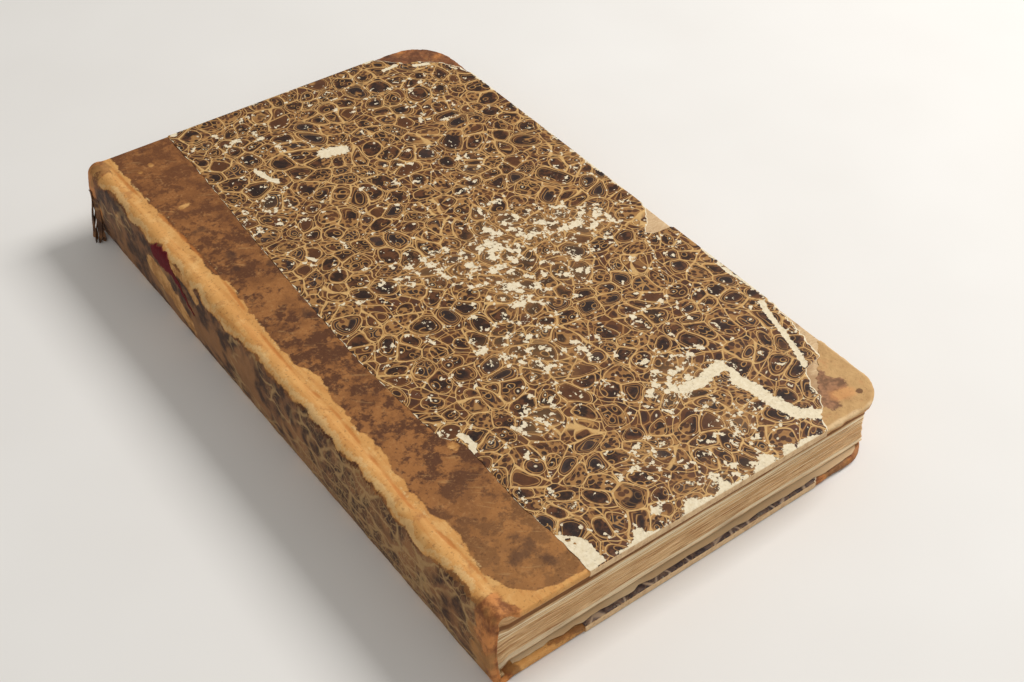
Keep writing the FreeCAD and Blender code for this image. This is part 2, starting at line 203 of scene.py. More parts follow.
def leather_section(side, s):
    """The leather's outer section as x, z and inward normal: the back for s below 0, then the board."""
    x, z, nx, nz = back_section(np.minimum(s, 0))
    if side == "back":
        z, nz = SECTION_HEIGHT - z, -nz
    u = np.maximum(s, 0) - JOINT_GAP / 2
    drop = HOLLOW_DEPTH[side] - LEATHER_DEPTH
    depth = LEATHER_DEPTH + drop * (1 - soft_step(u, 0.15, 1.9))
    bx, bz = on_cover(side, u, depth)
    deeper_x, deeper_z = on_cover(side, u, depth + 1)
    board = s > 0
    return (
        np.where(board, bx, x),
        np.where(board, bz, z),
        np.where(board, deeper_x - bx, nx),
        np.where(board, deeper_z - bz, nz),
    )


def page_top(x):
    """The height of the top page under the sloping front board."""
    return JOINT_THICKNESS - PAGE_INSET / math.cos(WEDGE) - (x - HINGE_X) * math.tan(WEDGE)


# Meshes.


def quads(n, m, closed=False):
    """The faces of an n by m grid of vertices, wrapped in its second direction when it is closed."""
    i = np.arange(n - 1)[:, None]
    j = np.arange(m if closed else m - 1)[None, :]
    k = (j + 1) % m
    return np.stack([i * m + j, (i + 1) * m + j, (i + 1) * m + k, i * m + k], -1).reshape(-1, 4)


def make_piece(
    name, points, faces, body, looks, flow=None, marks=None, replaces=(), face_look=None
):
    """One object: vertices and flow in millimetres, faces, marks per vertex, and the body it rides on."""
    mesh = bpy.data.meshes.new(name)
    mesh.from_pydata((np.asarray(points) * MM).tolist(), [], faces)
    for look in looks:
        mesh.materials.append(look)
    if face_look is not None:
        mesh.polygons.foreach_set("material_index", np.asarray(face_look, np.int32))
    if flow is not None:
        attribute = mesh.attributes.new("flow", "FLOAT_VECTOR", "POINT")
        attribute.data.foreach_set("vector", np.asarray(flow, np.float32).ravel())
    for mark, values in (marks or {}).items():
        attribute = mesh.attributes.new(mark, "FLOAT", "POINT")
        attribute.data.foreach_set("value", np.asarray(values, np.float32).ravel())
    mesh.update()
    mesh.shade_smooth()
    mesh.set_sharp_from_angle(angle=math.radians(50))
    piece = bpy.data.objects.new(name, mesh)
    bpy.context.scene.collection.objects.link(piece)
    if replaces:
        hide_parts(*replaces)
    if body is not None:
        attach(piece, body)
    return piece


def shell(outer, thickness, step=1, flip=False):
    """A closed skin: the outer grid, a coarser grid the thickness below it, and a rim round both.

    Every step-th row and column has a vertex below. Returns the vertices, the faces and, for each vertex,
    the place in the outer grid that its marks come from.
    """
    n, m = outer.shape[:2]
    rows = np.unique(np.r_[np.arange(0, n, step), n - 1])
    cols = np.unique(np.r_[np.arange(0, m, step), m - 1])
    normal = np.cross(np.gradient(outer, axis=0), np.gradient(outer, axis=1))
    normal /= np.maximum(np.linalg.norm(normal, axis=-1, keepdims=True), 1e-9)
    if flip:
        normal = -normal
    inner = (outer - normal * np.asarray(thickness)[..., None])[rows][:, cols]
    index = np.arange(n * m).reshape(n, m)
    below = n * m + np.arange(len(rows) * len(cols)).reshape(len(rows), len(cols))
    faces = quads(n, m).tolist()
    faces += (n * m + quads(len(rows), len(cols)))[:, ::-1].tolist()
    for a, b, i, j in zip(rows, rows[1:], below[:, 0], below[1:, 0]):
        faces.append([*index[a : b + 1, 0][::-1], i, j])
    for a, b, i, j in zip(rows, rows[1:], below[:, -1], below[1:, -1]):
        faces.append([*index[a : b + 1, -1], j, i])
    for a, b, i, j in zip(cols, cols[1:], below[0], below[0, 1:]):
        faces.append([*index[0, a : b + 1], j, i])
    for a, b, i, j in zip(cols, cols[1:], below[-1], below[-1, 1:]):
        faces.append([*index[-1, a : b + 1][::-1], i, j])
    if flip:
        faces = [face[::-1] for face in faces]
    points = np.concatenate([outer.reshape(-1, 3), inner.reshape(-1, 3)])
    source = np.r_[index.ravel(), index[rows][:, cols].ravel()]
    return points, faces, source


def make_skin(
    name, outer, thickness, body, look, marks, step=1, flip=False, flow=None, replaces=()
):
    """A piece that is one closed skin. Its marks and flow are given on the outer grid."""
    points, faces, source = shell(outer, thickness, step, flip)
    marks = {
        mark: np.broadcast_to(values, outer.shape[:2]).ravel()[source] for mark, values in marks.items()
    }
    if flow is not None:
        flow = flow.reshape(-1, 3)[source]
    return make_piece(name, points, faces, body, [look], flow, marks, replaces)


def make_rings(name, rings, flip, body, look, replaces):
    """A piece made of closed rings, one after another, with a flat face on the first and the last."""
    n, m = rings.shape[:2]
    faces = quads(n, m, closed=True).tolist()
    faces += [list(range(m)), list(range(n * m - 1, (n - 1) * m - 1, -1))]
    if flip:
        faces = [face[::-1] for face in faces]
    return make_piece(name, rings.reshape(-1, 3), faces, body, [look], replaces=replaces)


def spaced(*stretches):
    """Positions along a line: each stretch is (from, to, spacing)."""
    parts = [np.linspace(a, b, max(2, round(abs(b - a) / gap) + 1)) for a, b, gap in stretches]
    return np.concatenate([parts[0]] + [part[1:] for part in parts[1:]])


# Looks.


def rgb(red, green, blue):
    """A colour as it shows on screen, 0 to 255, made linear."""
    levels = np.array([red, green, blue]) / 255
    linear = np.where(levels <= 0.04045, levels / 12.92, ((levels + 0.055) / 1.055) ** 2.4)
    return (*(float(level) for level in linear), 1.0)


class Value:
    """A number that comes out of a node. Arithmetic on it adds Math nodes."""

    def __init__(self, look, made, out=0):
        self.look = look
        self.made = made
        self.socket = made.outputs[out]

    def out(self, key):
        """Another output of the same node."""
        return Value(self.look, self.made, key)

    def math(self, operation, first, second=0.0):
        return self.look.node("ShaderNodeMath", {"operation": operation}, {0: first, 1: second})

    def __add__(self, other):
        return self.math("ADD", self, other)

    def __sub__(self, other):
        return self.math("SUBTRACT", self, other)

    def __mul__(self, other):
        return self.math("MULTIPLY", self, other)

    def __rsub__(self, other):
        return self.math("SUBTRACT", other, self)

    def __abs__(self):
        return self.math("ABSOLUTE", self)

    __radd__ = __add__
    __rmul__ = __mul__

    def most(self, other):
        return self.math("MAXIMUM", self, other)


class Look:
    """A material, with the patterns that this book's finishes are made of."""

    def __init__(self, name, roughness=0.6, gloss=0.3, flat=False):
        self.dimensions = "2D" if flat else "3D"
        self.material = bpy.data.materials.new(name)
        self.material.use_nodes = True
        self.nodes = self.material.node_tree.nodes
        self.links = self.material.node_tree.links
        self.shader = self.nodes["Principled BSDF"]
        self.shader.inputs["Roughness"].default_value = roughness
        self.shader.inputs["Specular IOR Level"].default_value = gloss
        place = self.node("ShaderNodeTexCoord", out="Object")
        self.mm = self.node("ShaderNodeVectorMath", {"operation": "SCALE"}, {0: place, "Scale": 1 / MM})
        if flat:
            self.mm = self.flow()

    def node(self, kind, settings=None, inputs=None, out=0):
        """Adds a node: its settings first, then its sockets' values or links. Returns the named output."""
        made = self.nodes.new(kind)
        for key, setting in (settings or {}).items():
            setattr(made, key, setting)
        self.feed(made, inputs or {})
        return Value(self, made, out)

    def feed(self, made, inputs):
        for key, given in inputs.items():
            if isinstance(given, Value):
                self.links.new(given.socket, made.inputs[key])
            else:
                made.inputs[key].default_value = given

    def mark(self, name):
        """A mark worked out for each vertex of the mesh."""
        return self.node("ShaderNodeAttribute", {"attribute_name": name}, out="Fac")

    def flow(self):
        """Coordinates along the piece's own sheet or leaves, in millimetres."""
        return self.node("ShaderNodeAttribute", {"attribute_name": "flow"}, out="Vector")

    def stretch(self, scale, place=None, turn=(0, 0, 0)):
        """Coordinates in millimetres, turned and stretched."""
        inputs = {"Vector": place or self.mm, "Rotation": turn, "Scale": scale}
        return self.node("ShaderNodeMapping", {"vector_type": "TEXTURE"}, inputs)

    def noise(self, size, detail=2.0, place=None, roughness=0.5, out=0):
        """Noise with features of about the given size in millimetres, 0 to 1 about a half."""
        inputs = {"Vector": place or self.mm, "Scale": 1 / size, "Detail": detail, "Roughness": roughness}
        return self.node("ShaderNodeTexNoise", {"noise_dimensions": self.dimensions}, inputs, out)

    def three(self, size, detail=2.0, place=None, roughness=0.5):
        """Three separate noises of the same size."""
        made = self.noise(size, detail, place, roughness, out=1)
        return [self.part_of(made, axis) for axis in range(3)]

    def cells(self, size, feature, place):
        """Cells of the given size in millimetres. Distances come out in cell sizes."""
        settings = {"feature": feature, "voronoi_dimensions": self.dimensions}
        return self.node("ShaderNodeTexVoronoi", settings, {"Vector": place, "Scale": 1 / size})

    def shifted(self, amount, size, place=None, detail=2.0):
        """Coordinates pushed about by noise, by up to about half the amount in millimetres."""
        push = self.noise(size, detail, place, out=1)
        push = self.node("ShaderNodeVectorMath", {"operation": "SUBTRACT"}, {0: push, 1: (0.5, 0.5, 0.5)})
        push = self.node("ShaderNodeVectorMath", {"operation": "SCALE"}, {0: push, "Scale": amount})
        return self.node("ShaderNodeVectorMath", {"operation": "ADD"}, {0: place or self.mm, 1: push})

    def step(self, value, low, high):
        """A mask: 0 at low, 1 at high, eased between."""
        inputs = {"Value": value, "From Min": low, "From Max": high}
        return self.node("ShaderNodeMapRange", {"interpolation_type": "SMOOTHSTEP"}, inputs)

    def line(self, value, at, width):
        """A mask: 1 where the value is at the given one, 0 beyond the width from it."""
        return 1 - self.step(abs(value - at), width * 0.3, width)

    def mix(self, factor, first, second):
        """One colour over another."""
        inputs = {0: factor, 6: first, 7: second}
        return self.node("ShaderNodeMix", {"data_type": "RGBA"}, inputs, 2)

    def blend(self, factor, first, second):
        """One number over another."""
        return self.node("ShaderNodeMix", {"data_type": "FLOAT"}, {0: factor, 2: first, 3: second})

    def part_of(self, vector, axis):
        """One number of a vector or colour."""
        return self.node("ShaderNodeSeparateXYZ", {}, {0: vector}, axis)

    def paint(self, mask, colour):
        """Lays a colour over what has been painted so far."""
        self.colour = self.mix(mask, self.colour, colour)

    def finish(self, height=None, relief=0.1, roughness=None):
        """Links the colour, roughness and a height in millimetres to the shader."""
        self.feed(self.shader, {"Base Color": self.colour})
        if roughness is not None:
            self.feed(self.shader, {"Roughness": roughness})
        if height is not None:
            inputs = {"Height": height, "Distance": relief * MM, "Strength": 1.0}
            self.feed(self.shader, {"Normal": self.node("ShaderNodeBump", {}, inputs)})
        return self.material


def marbled_look():
    """Marbled paper: round drops of brown with pale outlines and rings, and small drops in the gaps.

    A drop ends at its own radius or, if that comes first, half way to its neighbour. The wear is painted by
    marks: rub where the print is abraded, chip and torn where the paper's white core shows, bare where the
    board shows, fresh where the print was folded inside and has kept its slate colour. The torn mark also
    holds the pale line along the paper's cut edge, partly its white core and partly a painted highlight.
    """
    look = Look("marbled_paper", roughness=0.55, gloss=0.25, flat=True)
    drawn = look.shifted(6.0, 16.0, detail=0.0)
    drawn = look.shifted(1.1, 4.2, drawn, detail=0.0)
    large = look.cells(6.8, "F1", drawn)
    border = (look.cells(6.8, "F2", drawn) - large) * 3.4
    kind_a, kind_b, kind_c = (look.part_of(large.out(1), axis) for axis in range(3))
    inward = 2.5 + kind_b * 2.2 - large * 6.8
    wall = look.node("ShaderNodeMath", {"operation": "SMOOTH_MIN"}, {0: border, 1: inward, 2: 0.7})
    nest = look.cells(2.9, "F1", drawn)
    nest_a, nest_b, nest_c = (look.part_of(nest.out(1), axis) for axis in range(3))
    nest = nest * 2.9
    nest_wall = (look.cells(2.9, "F2", drawn) * 2.9 - nest) * 0.5
    tiny = look.cells(1.5, "F1", drawn)
    tiny_kind = look.part_of(tiny.out(1), 1)
    tiny = tiny * 1.5
    tone, tone_b, tone_c = look.three(3.2, 3.0, roughness=0.6)
    zone_a, zone_b, zone_c = look.three(11.0, 1.0)
    grit, fibre, grit_b = look.three(1.1, 3.0, roughness=0.6)

    ringed = look.step(kind_a, 0.5, 0.51)
    crowded = (1 - ringed) * look.step(kind_a, 0.1, 0.11)
    plain = 1 - look.step(kind_a, 0.09, 0.1)
    first = 0.25 + kind_c * 0.5
    inside = look.step(wall, first, first + 0.3)
    heart = look.step(wall, first + 0.75, first + 1.5)
    gap = 1 - look.step(wall, -0.2, 0.05)
    swarm = (1 - look.step(wall, 0.3, 0.7)) * look.step(zone_a, 0.5, 0.56)
    swarm = swarm.most(look.step(zone_b, 0.62, 0.66))

    halo = look.mix(tone, rgb(70, 38, 19), rgb(112, 68, 34))
    dark = look.mix(look.step(tone_b, 0.42, 0.66), rgb(46, 27, 17), rgb(97, 58, 31))
    dark = look.mix(look.step(kind_c, 0.74, 0.8) * 0.6, dark, rgb(53, 43, 41))
    look.colour = look.mix(inside * (1 - plain * 0.75), halo, dark)
    look.paint(heart * ringed * look.step(kind_c, 0.3, 0.34) * 0.75, rgb(36, 23, 20))
    line_colour = look.mix(zone_c, rgb(152, 104, 56), rgb(204, 156, 92))
    ring = look.line(wall, first, 0.13) * (1 - crowded * 0.6)
    second = look.line(wall, first + 0.6, 0.13) * look.step(kind_b, 0.45, 0.5) * ringed
    look.paint(ring.most(second) * 0.75, line_colour)

    radius = 0.55 + nest_b * 0.55
    within = look.step(wall, first, first + 0.2)
    bubble = look.line(nest, radius, 0.2) * within * (crowded + ringed * look.step(nest_a, 0.72, 0.74))
    look.paint((1 - look.step(nest, radius - 0.5, radius)) * within * crowded * 0.8, rgb(44, 28, 22))
    look.paint(bubble * 0.85, line_colour)
    seed = look.mix(nest_b, rgb(48, 28, 20), rgb(96, 58, 36))
    look.paint(gap * (1 - look.step(nest, 0.9, 1.3)), seed)
    divided = gap.most(crowded * look.step(kind_c, 0.5, 0.52) * look.step(wall, 0.2, 0.4))
    look.paint((1 - look.step(nest_wall, 0.06, 0.2)) * divided * 0.85, line_colour)

    speck = 1 - look.step(tiny, 0.52, 0.74)
    grout = look.mix(tone_c, rgb(134, 89, 47), rgb(188, 140, 82))
    chain = look.mix(speck, grout, look.mix(tiny_kind, rgb(48, 28, 18), rgb(100, 61, 35)))
    look.paint(swarm * 0.92, chain)
    vein = look.line(wall, 0.08, look.blend(zone_c, 0.1, 0.26))
    vein = vein.most(1 - look.step(border, 0.05, look.blend(zone_b, 0.09, 0.26)))
    look.paint(vein * 0.9, look.mix(tone_b, rgb(184, 136, 78), rgb(234, 194, 128)))
    fresh = look.mark("fresh")
    slate = look.mix(look.step(tone, 0.4, 0.64), rgb(50, 42, 48), rgb(104, 86, 78))
    slate = look.mix((1 - look.step(border, 0.1, 0.5)) * 0.8, slate, rgb(176, 156, 136))
    look.paint(fresh * 0.85, slate)

    cream = look.mix(fibre, rgb(212, 192, 154), rgb(244, 231, 203))
    rub = look.mark("rub")
    look.paint(look.step(rub + tone * 0.5, 0.55, 1.5) * 0.22, rgb(182, 136, 82))
    flaked = look.step(tone_c + grit * 0.4 + rub * 0.11 - zone_b * 0.12, 0.81, 0.85)
    star = (1 - look.step(nest, 0.16, 0.42)) * look.step(nest_c + rub * 0.3, 0.82, 0.84)
    flaked = flaked.most(star * 0.9) * (1 - fresh * 0.9)
    look.paint(flaked, cream)
    fray = (grit - 0.5) * 0.9 + (tone - 0.5) * 0.5
    stripped = look.step(look.mark("chip") + fray, 0.46, 0.52)
    # torn also holds the cut edge's pale line: partly the white core, partly a painted highlight.
    torn = look.step(look.mark("torn") + fray * 0.7, 0.5, 0.6)
    white = stripped.most(torn)
    look.paint(white, cream)
    bare = look.step(look.mark("bare") + fray, 0.5, 0.62)
    board = look.mix(fibre, rgb(196, 158, 116), rgb(236, 206, 162))
    board = look.mix(look.step(tone, 0.5, 0.7) * 0.35, board, rgb(158, 114, 80))
    look.paint(bare, board)
    look.paint(look.step(grit_b, 0.55, 0.8) * 0.3, rgb(96, 66, 42))
    height = grit_b * 0.35 + fibre * 0.3 * bare - flaked * 0.4 - white * 0.6
    sheen = look.blend(flaked.most(bare).most(white), 0.5, 0.85)
    return look.finish(height, 0.12, sheen)


def leather_look(name, light, dark, blotch):
    """Rubbed brown calf: mottled, speckled where the nap shows, worn to tan by the mark band.

    Marks: band is worn to tan, fringe is the pale edge of the dark skin, crease is the orange line in the
    joint, spine is the darkened back with its cracks, cap is the reddish leather at its ends, pale is where
    the skin has gone, stain is a dark spot.
    """
    look = Look(name, roughness=0.6, gloss=0.22)
    cloud, worn_here, cloud_c = look.three(17.0, 3.0, roughness=0.6)
    mottle, patch, ragged = look.three(4.2, 4.0, roughness=0.65)
    nap, fray, grain = look.three(0.85, 3.0, roughness=0.7)
    height_up = look.part_of(look.mm, 1)
    look.colour = look.mix(look.step(cloud * 0.6 + mottle * 0.4, 0.34, 0.58), dark, light)
    look.colour = look.mix(look.step(patch + cloud_c * 0.4, 0.76, 0.64) * 0.7, blotch, look.colour)
    chestnut = look.mix(mottle, rgb(104, 61, 33), rgb(150, 94, 50))
    look.paint(look.step(height_up, 20, 100) * 0.45, chestnut)
    look.paint(look.step(height_up, -60, -100) * 0.4, rgb(178, 124, 68))
    look.paint(look.step(nap + mottle * 0.5, 0.8, 1.0) * 0.55, rgb(170, 124, 76))
    look.paint(look.step(nap, 0.44, 0.32) * 0.5, rgb(74, 45, 30))
    brushed = look.stretch((1.0, 9.0, 9.0), look.shifted(6.0, 20.0, detail=1.0), (0, 0, 0.9))
    hair = look.noise(0.9, detail=2.0, place=brushed)
    look.paint(look.step(hair, 0.64, 0.74) * 0.4, rgb(178, 134, 84))
    stain = look.step(look.mark("stain") + (ragged - 0.5) * 1.2, 0.4, 0.75)
    look.paint(stain * 0.7, rgb(70, 46, 34))

    spine = look.mark("spine")
    drawn_out = look.stretch((1.0, 2.0, 1.0), look.shifted(5.0, 6.0, detail=2.0))
    plates = look.cells(5.5, "DISTANCE_TO_EDGE", drawn_out) * 5.5
    chips = look.cells(2.0, "DISTANCE_TO_EDGE", look.shifted(1.6, 2.0, detail=1.0)) * 2.0
    worn = worn_here + (0.10 - 0.2 * look.step(height_up, -60, 70))
    crack = (1 - look.step(plates, 0.08, 0.6)) * look.step(worn, 0.42, 0.56)
    fine_crack = (1 - look.step(chips, 0.04, 0.22)) * look.step(worn, 0.5, 0.62) * 0.75
    scratch = look.noise(0.7, detail=2.0, place=look.stretch((1.0, 22.0, 1.0), look.mm, (0.25, 0, 0)))
    scratch = look.step(scratch, 0.62, 0.7) * look.step(worn, 0.42, 0.55)
    back = look.mix(look.step(mottle, 0.4, 0.64), rgb(68, 45, 31), rgb(126, 86, 55))
    back = look.mix(look.step(cloud, 0.47, 0.6) * 0.7, back, rgb(154, 108, 66))
    net = crack.most(fine_crack).most(scratch * 0.55)
    back = look.mix(net * 0.8, back, look.mix(nap, rgb(146, 110, 70), rgb(200, 164, 110)))
    spine_mask = look.step(spine + (ragged - 0.5) * 1.5 + (fray - 0.5) * 0.9, 0.44, 0.54)
    look.paint(spine_mask, back)

    band = look.mark("band")
    band_mask = look.step(band + (fray - 0.5) * 0.5 + (ragged - 0.5) * 0.9, 0.38, 0.64)
    tan = look.mix(cloud_c, rgb(196, 136, 72), rgb(224, 170, 100))
    tan = look.mix(look.step(mottle, 0.48, 0.68) * 0.35, tan, rgb(236, 194, 128))
    grainy = look.noise(1.3, detail=2.0, place=look.stretch((1.0, 12.0, 1.0)))
    tan = look.mix(look.step(grainy, 0.5, 0.66) * 0.45, tan, rgb(198, 132, 68))
    tan = look.mix(look.step(patch, 0.56, 0.7) * 0.6, tan, rgb(166, 108, 58))
    tan = look.mix(look.step(nap, 0.42, 0.34) * 0.5, tan, rgb(138, 94, 54))
    look.paint(band_mask * 0.95, tan)
    fringe = look.step(look.mark("fringe") + (fray - 0.5) * 1.2 + (patch - 0.5) * 1.4, 0.5, 0.8)
    look.paint(fringe * 0.6, look.mix(nap, rgb(200, 158, 100), rgb(238, 204, 146)))
    crease = look.step(look.mark("crease") + (fray - 0.5) * 0.5, 0.15, 0.75)
    look.paint(crease * 0.7, rgb(184, 112, 50))
    cap = look.step(look.mark("cap") + (ragged - 0.5) * 0.9, 0.3, 0.65)
    cap_colour = look.mix(look.step(patch, 0.36, 0.6), rgb(118, 66, 36), rgb(204, 134, 74))
    cap_colour = look.mix(look.step(cloud_c, 0.52, 0.6) * 0.7, cap_colour, rgb(152, 112, 64))
    look.paint(cap * 0.9, cap_colour)
    pale = look.step(look.mark("pale") + (ragged - 0.5) * 1.0 + (fray - 0.5) * 0.4, 0.45, 0.62)
    look.paint(pale * 0.9, look.mix(look.step(mottle, 0.4, 0.6), rgb(172, 118, 60), rgb(212, 160, 96)))
    height = grain * 0.55 + mottle * 0.3 - net * spine_mask * 0.6 - band_mask * 0.2
    sheen = look.blend(spine_mask, 0.68, 0.62)
    return look.finish(height, 0.18, sheen)


def worn_corner_look():
    """A corner whose leather is mostly rubbed off: beige board, remnants of brown skin, an orange stain."""
    look = Look("worn_corner", roughness=0.75, gloss=0.2)
    mottle, patch, ragged = look.three(3.6, 4.0, roughness=0.65)
    nap, fray, grain = look.three(0.7, 3.0, roughness=0.7)
    look.colour = look.mix(mottle, rgb(166, 124, 78), rgb(214, 174, 118))
    look.paint(look.step(patch, 0.55, 0.7) * 0.5, rgb(190, 134, 88))
    skin = look.step(look.mark("skin") + (ragged - 0.5) * 1.2 + (fray - 0.5) * 0.4, 0.42, 0.6)
    look.paint(skin * 0.85, look.mix(look.step(patch, 0.4, 0.6), rgb(104, 70, 54), rgb(160, 112, 82)))
    amber = look.step(look.mark("amber") + (mottle - 0.5) * 1.0, 0.3, 0.9)
    look.paint(amber * 0.6, rgb(208, 144, 88))
    spot = look.step(look.mark("stain") + (fray - 0.5) * 0.6, 0.45, 0.65)
    look.paint(spot * 0.8, rgb(92, 56, 38))
    look.paint(look.step(look.mark("rim"), 0.3, 0.9) * 0.6, rgb(236, 206, 160))
    look.paint(look.step(nap, 0.43, 0.33) * 0.35, rgb(128, 90, 62))
    return look.finish(grain + mottle * 0.4, 0.18)


def board_look():
    """Pasteboard with its grey-brown pulp showing, fibrous and dirtied."""
    look = Look("pasteboard", roughness=0.85, gloss=0.15)
    cloud = look.noise(6.0, detail=4.0, roughness=0.6)
    fibres = look.noise(0.6, detail=4.0, place=look.stretch((3.0, 1.0, 0.4)), roughness=0.7)
    layers = look.noise(0.5, detail=2.0, place=look.stretch((14.0, 14.0, 1.0)))
    look.colour = look.mix(cloud, rgb(176, 140, 102), rgb(226, 194, 150))
    look.paint(look.step(fibres, 0.45, 0.7) * 0.5, rgb(232, 206, 166))
    look.paint(look.step(layers, 0.52, 0.64) * 0.5, rgb(150, 110, 76))
    look.paint(look.step(look.noise(1.8, detail=3.0), 0.62, 0.72) * 0.5, rgb(124, 92, 66))
    return look.finish(fibres + layers * 0.8, 0.2)


def page_edge_look():
    """The cut edges of the leaves: streaks along each leaf, darker where dust has settled and in painted
    shade.
    """
    look = Look("page_edges", roughness=0.8, gloss=0.15)
    leaf = look.noise(0.2, detail=3.0, place=look.stretch((60.0, 1.0, 1.0), look.flow()), roughness=0.7)
    section = look.noise(1.5, detail=1.0, place=look.stretch((90.0, 1.0, 1.0), look.flow()))
    dust = look.noise(14.0, detail=3.0)
    look.colour = look.mix(look.step(leaf, 0.36, 0.62), rgb(176, 126, 80), rgb(248, 214, 164))
    look.paint(look.step(section, 0.42, 0.6) * 0.5, rgb(214, 172, 120))
    lit = look.step(look.mark("bright") + (section - 0.5) * 1.6 + (leaf - 0.5) * 0.8, 0.3, 0.8)
    look.paint(lit * 0.85, rgb(252, 236, 200))
    # Painted shade: the shade mark darkens the edges towards the spine on the lower leaves and paints the
    # shadow under the front board's overhang.
    look.paint(look.step(look.mark("shade"), 0.1, 1.0) * 0.85, rgb(116, 68, 34))
    look.paint(look.step(dust, 0.5, 0.75) * 0.3, rgb(150, 112, 76))
    return look.finish(leaf, 0.15)


def endpaper_look():
    """Old white endpaper: browned towards its edges, foxed, faintly ribbed from the mould."""
    look = Look("endpaper", roughness=0.75, gloss=0.2)
    cloud = look.noise(40.0, detail=4.0)
    spot = look.noise(3.2, detail=3.0, roughness=0.6)
    look.colour = look.mix(cloud, rgb(206, 184, 144), rgb(232, 216, 182))
    look.paint(look.step(look.mark("edge"), 0.0, 1.0) * 0.6, rgb(176, 140, 98))
    look.paint(look.step(spot, 0.68, 0.78) * 0.5, rgb(168, 124, 80))
    ribs = look.node("ShaderNodeTexWave", {"bands_direction": "X"}, {"Vector": look.mm, "Scale": 0.35})
    return look.finish(look.noise(0.5, detail=4.0) + ribs * 0.25, 0.06)


def label_look():
    """What is left of the red title label: thin sheepskin, rubbed at its edges."""
    look = Look("red_label", roughness=0.65, gloss=0.15)
    wear = look.noise(1.6, detail=4.0, roughness=0.65)
    look.colour = look.mix(wear, rgb(70, 2, 12), rgb(114, 10, 22))
    rubbed = look.step(look.mark("edge") + wear * 0.8, 1.15, 1.5)
    look.paint(rubbed * 0.7, rgb(134, 66, 52))
    return look.finish(look.noise(0.5, detail=3.0), 0.1)


def woven_look(name, warp, weft, pitch):
    """Plain-woven or twisted thread: two crossing waves of the given pitch in millimetres."""
    look = Look(name, roughness=0.85, gloss=0.15)
    scale = 0.314 / pitch
    along = look.node("ShaderNodeTexWave", {"bands_direction": "Y"}, {"Vector": look.mm, "Scale": scale})
    across = look.node("ShaderNodeTexWave", {"bands_direction": "Z"}, {"Vector": look.mm, "Scale": scale})
    over = look.step(along - across, -0.4, 0.4)
    look.colour = look.mix(over, warp, weft)
    look.paint(look.step(look.noise(5.0, detail=3.0), 0.5, 0.7) * 0.5, rgb(120, 92, 62))
    return look.finish(along.most(across), 0.2)


def thread_look():
    """The endband's wound thread, faded, with a darker one now and then."""
    look = Look("endband_thread", roughness=0.7, gloss=0.25)
    turn = look.noise(0.5, detail=1.0, place=look.stretch((4.0, 1.0, 1.0)))
    look.colour = look.mix(look.step(turn, 0.45, 0.55), rgb(150, 116, 78), rgb(206, 178, 132))
    return look.finish(look.noise(0.3, detail=3.0), 0.1)


MARBLED = marbled_look()
CALF = leather_look("brown_calf", rgb(172, 114, 61), rgb(130, 83, 44), rgb(92, 56, 33))
CORNER_CALF = leather_look("corner_calf", rgb(168, 108, 68), rgb(124, 76, 48), rgb(84, 52, 42))
WORN_CORNER = worn_corner_look()
BOARD = board_look()
PAGE_EDGES = page_edge_look()
ENDPAPER = endpaper_look()
RED_LABEL = label_look()
LINING = woven_look("spine_linen", rgb(186, 160, 120), rgb(150, 124, 88), 1.0)
HEMP = woven_look("hemp_cord", rgb(196, 166, 118), rgb(150, 118, 78), 0.7)
THREAD = thread_look()


# The pages: leaves from floor to top, each running from the rounded back to the hollow fore edge.


def back_of_pages(z):
    """x of the pages' back at a height: the wide arc under the leather, the ridge's arc beyond it."""
    radius = BACK_RADIUS - PAGES_UNDER_LEATHER
    wide = BACK_X - np.sqrt(radius**2 - (z - MID_HEIGHT) ** 2)
    ridge = RIDGE_RADIUS - PAGES_UNDER_LEATHER
    rise = np.abs(z - MID_HEIGHT) - (RIDGE_Z - MID_HEIGHT)
    round_end = RIDGE_X - np.sqrt(np.maximum(ridge**2 - np.maximum(rise, 0) ** 2, 0))
    return np.where(rise > 0, round_end, wide)


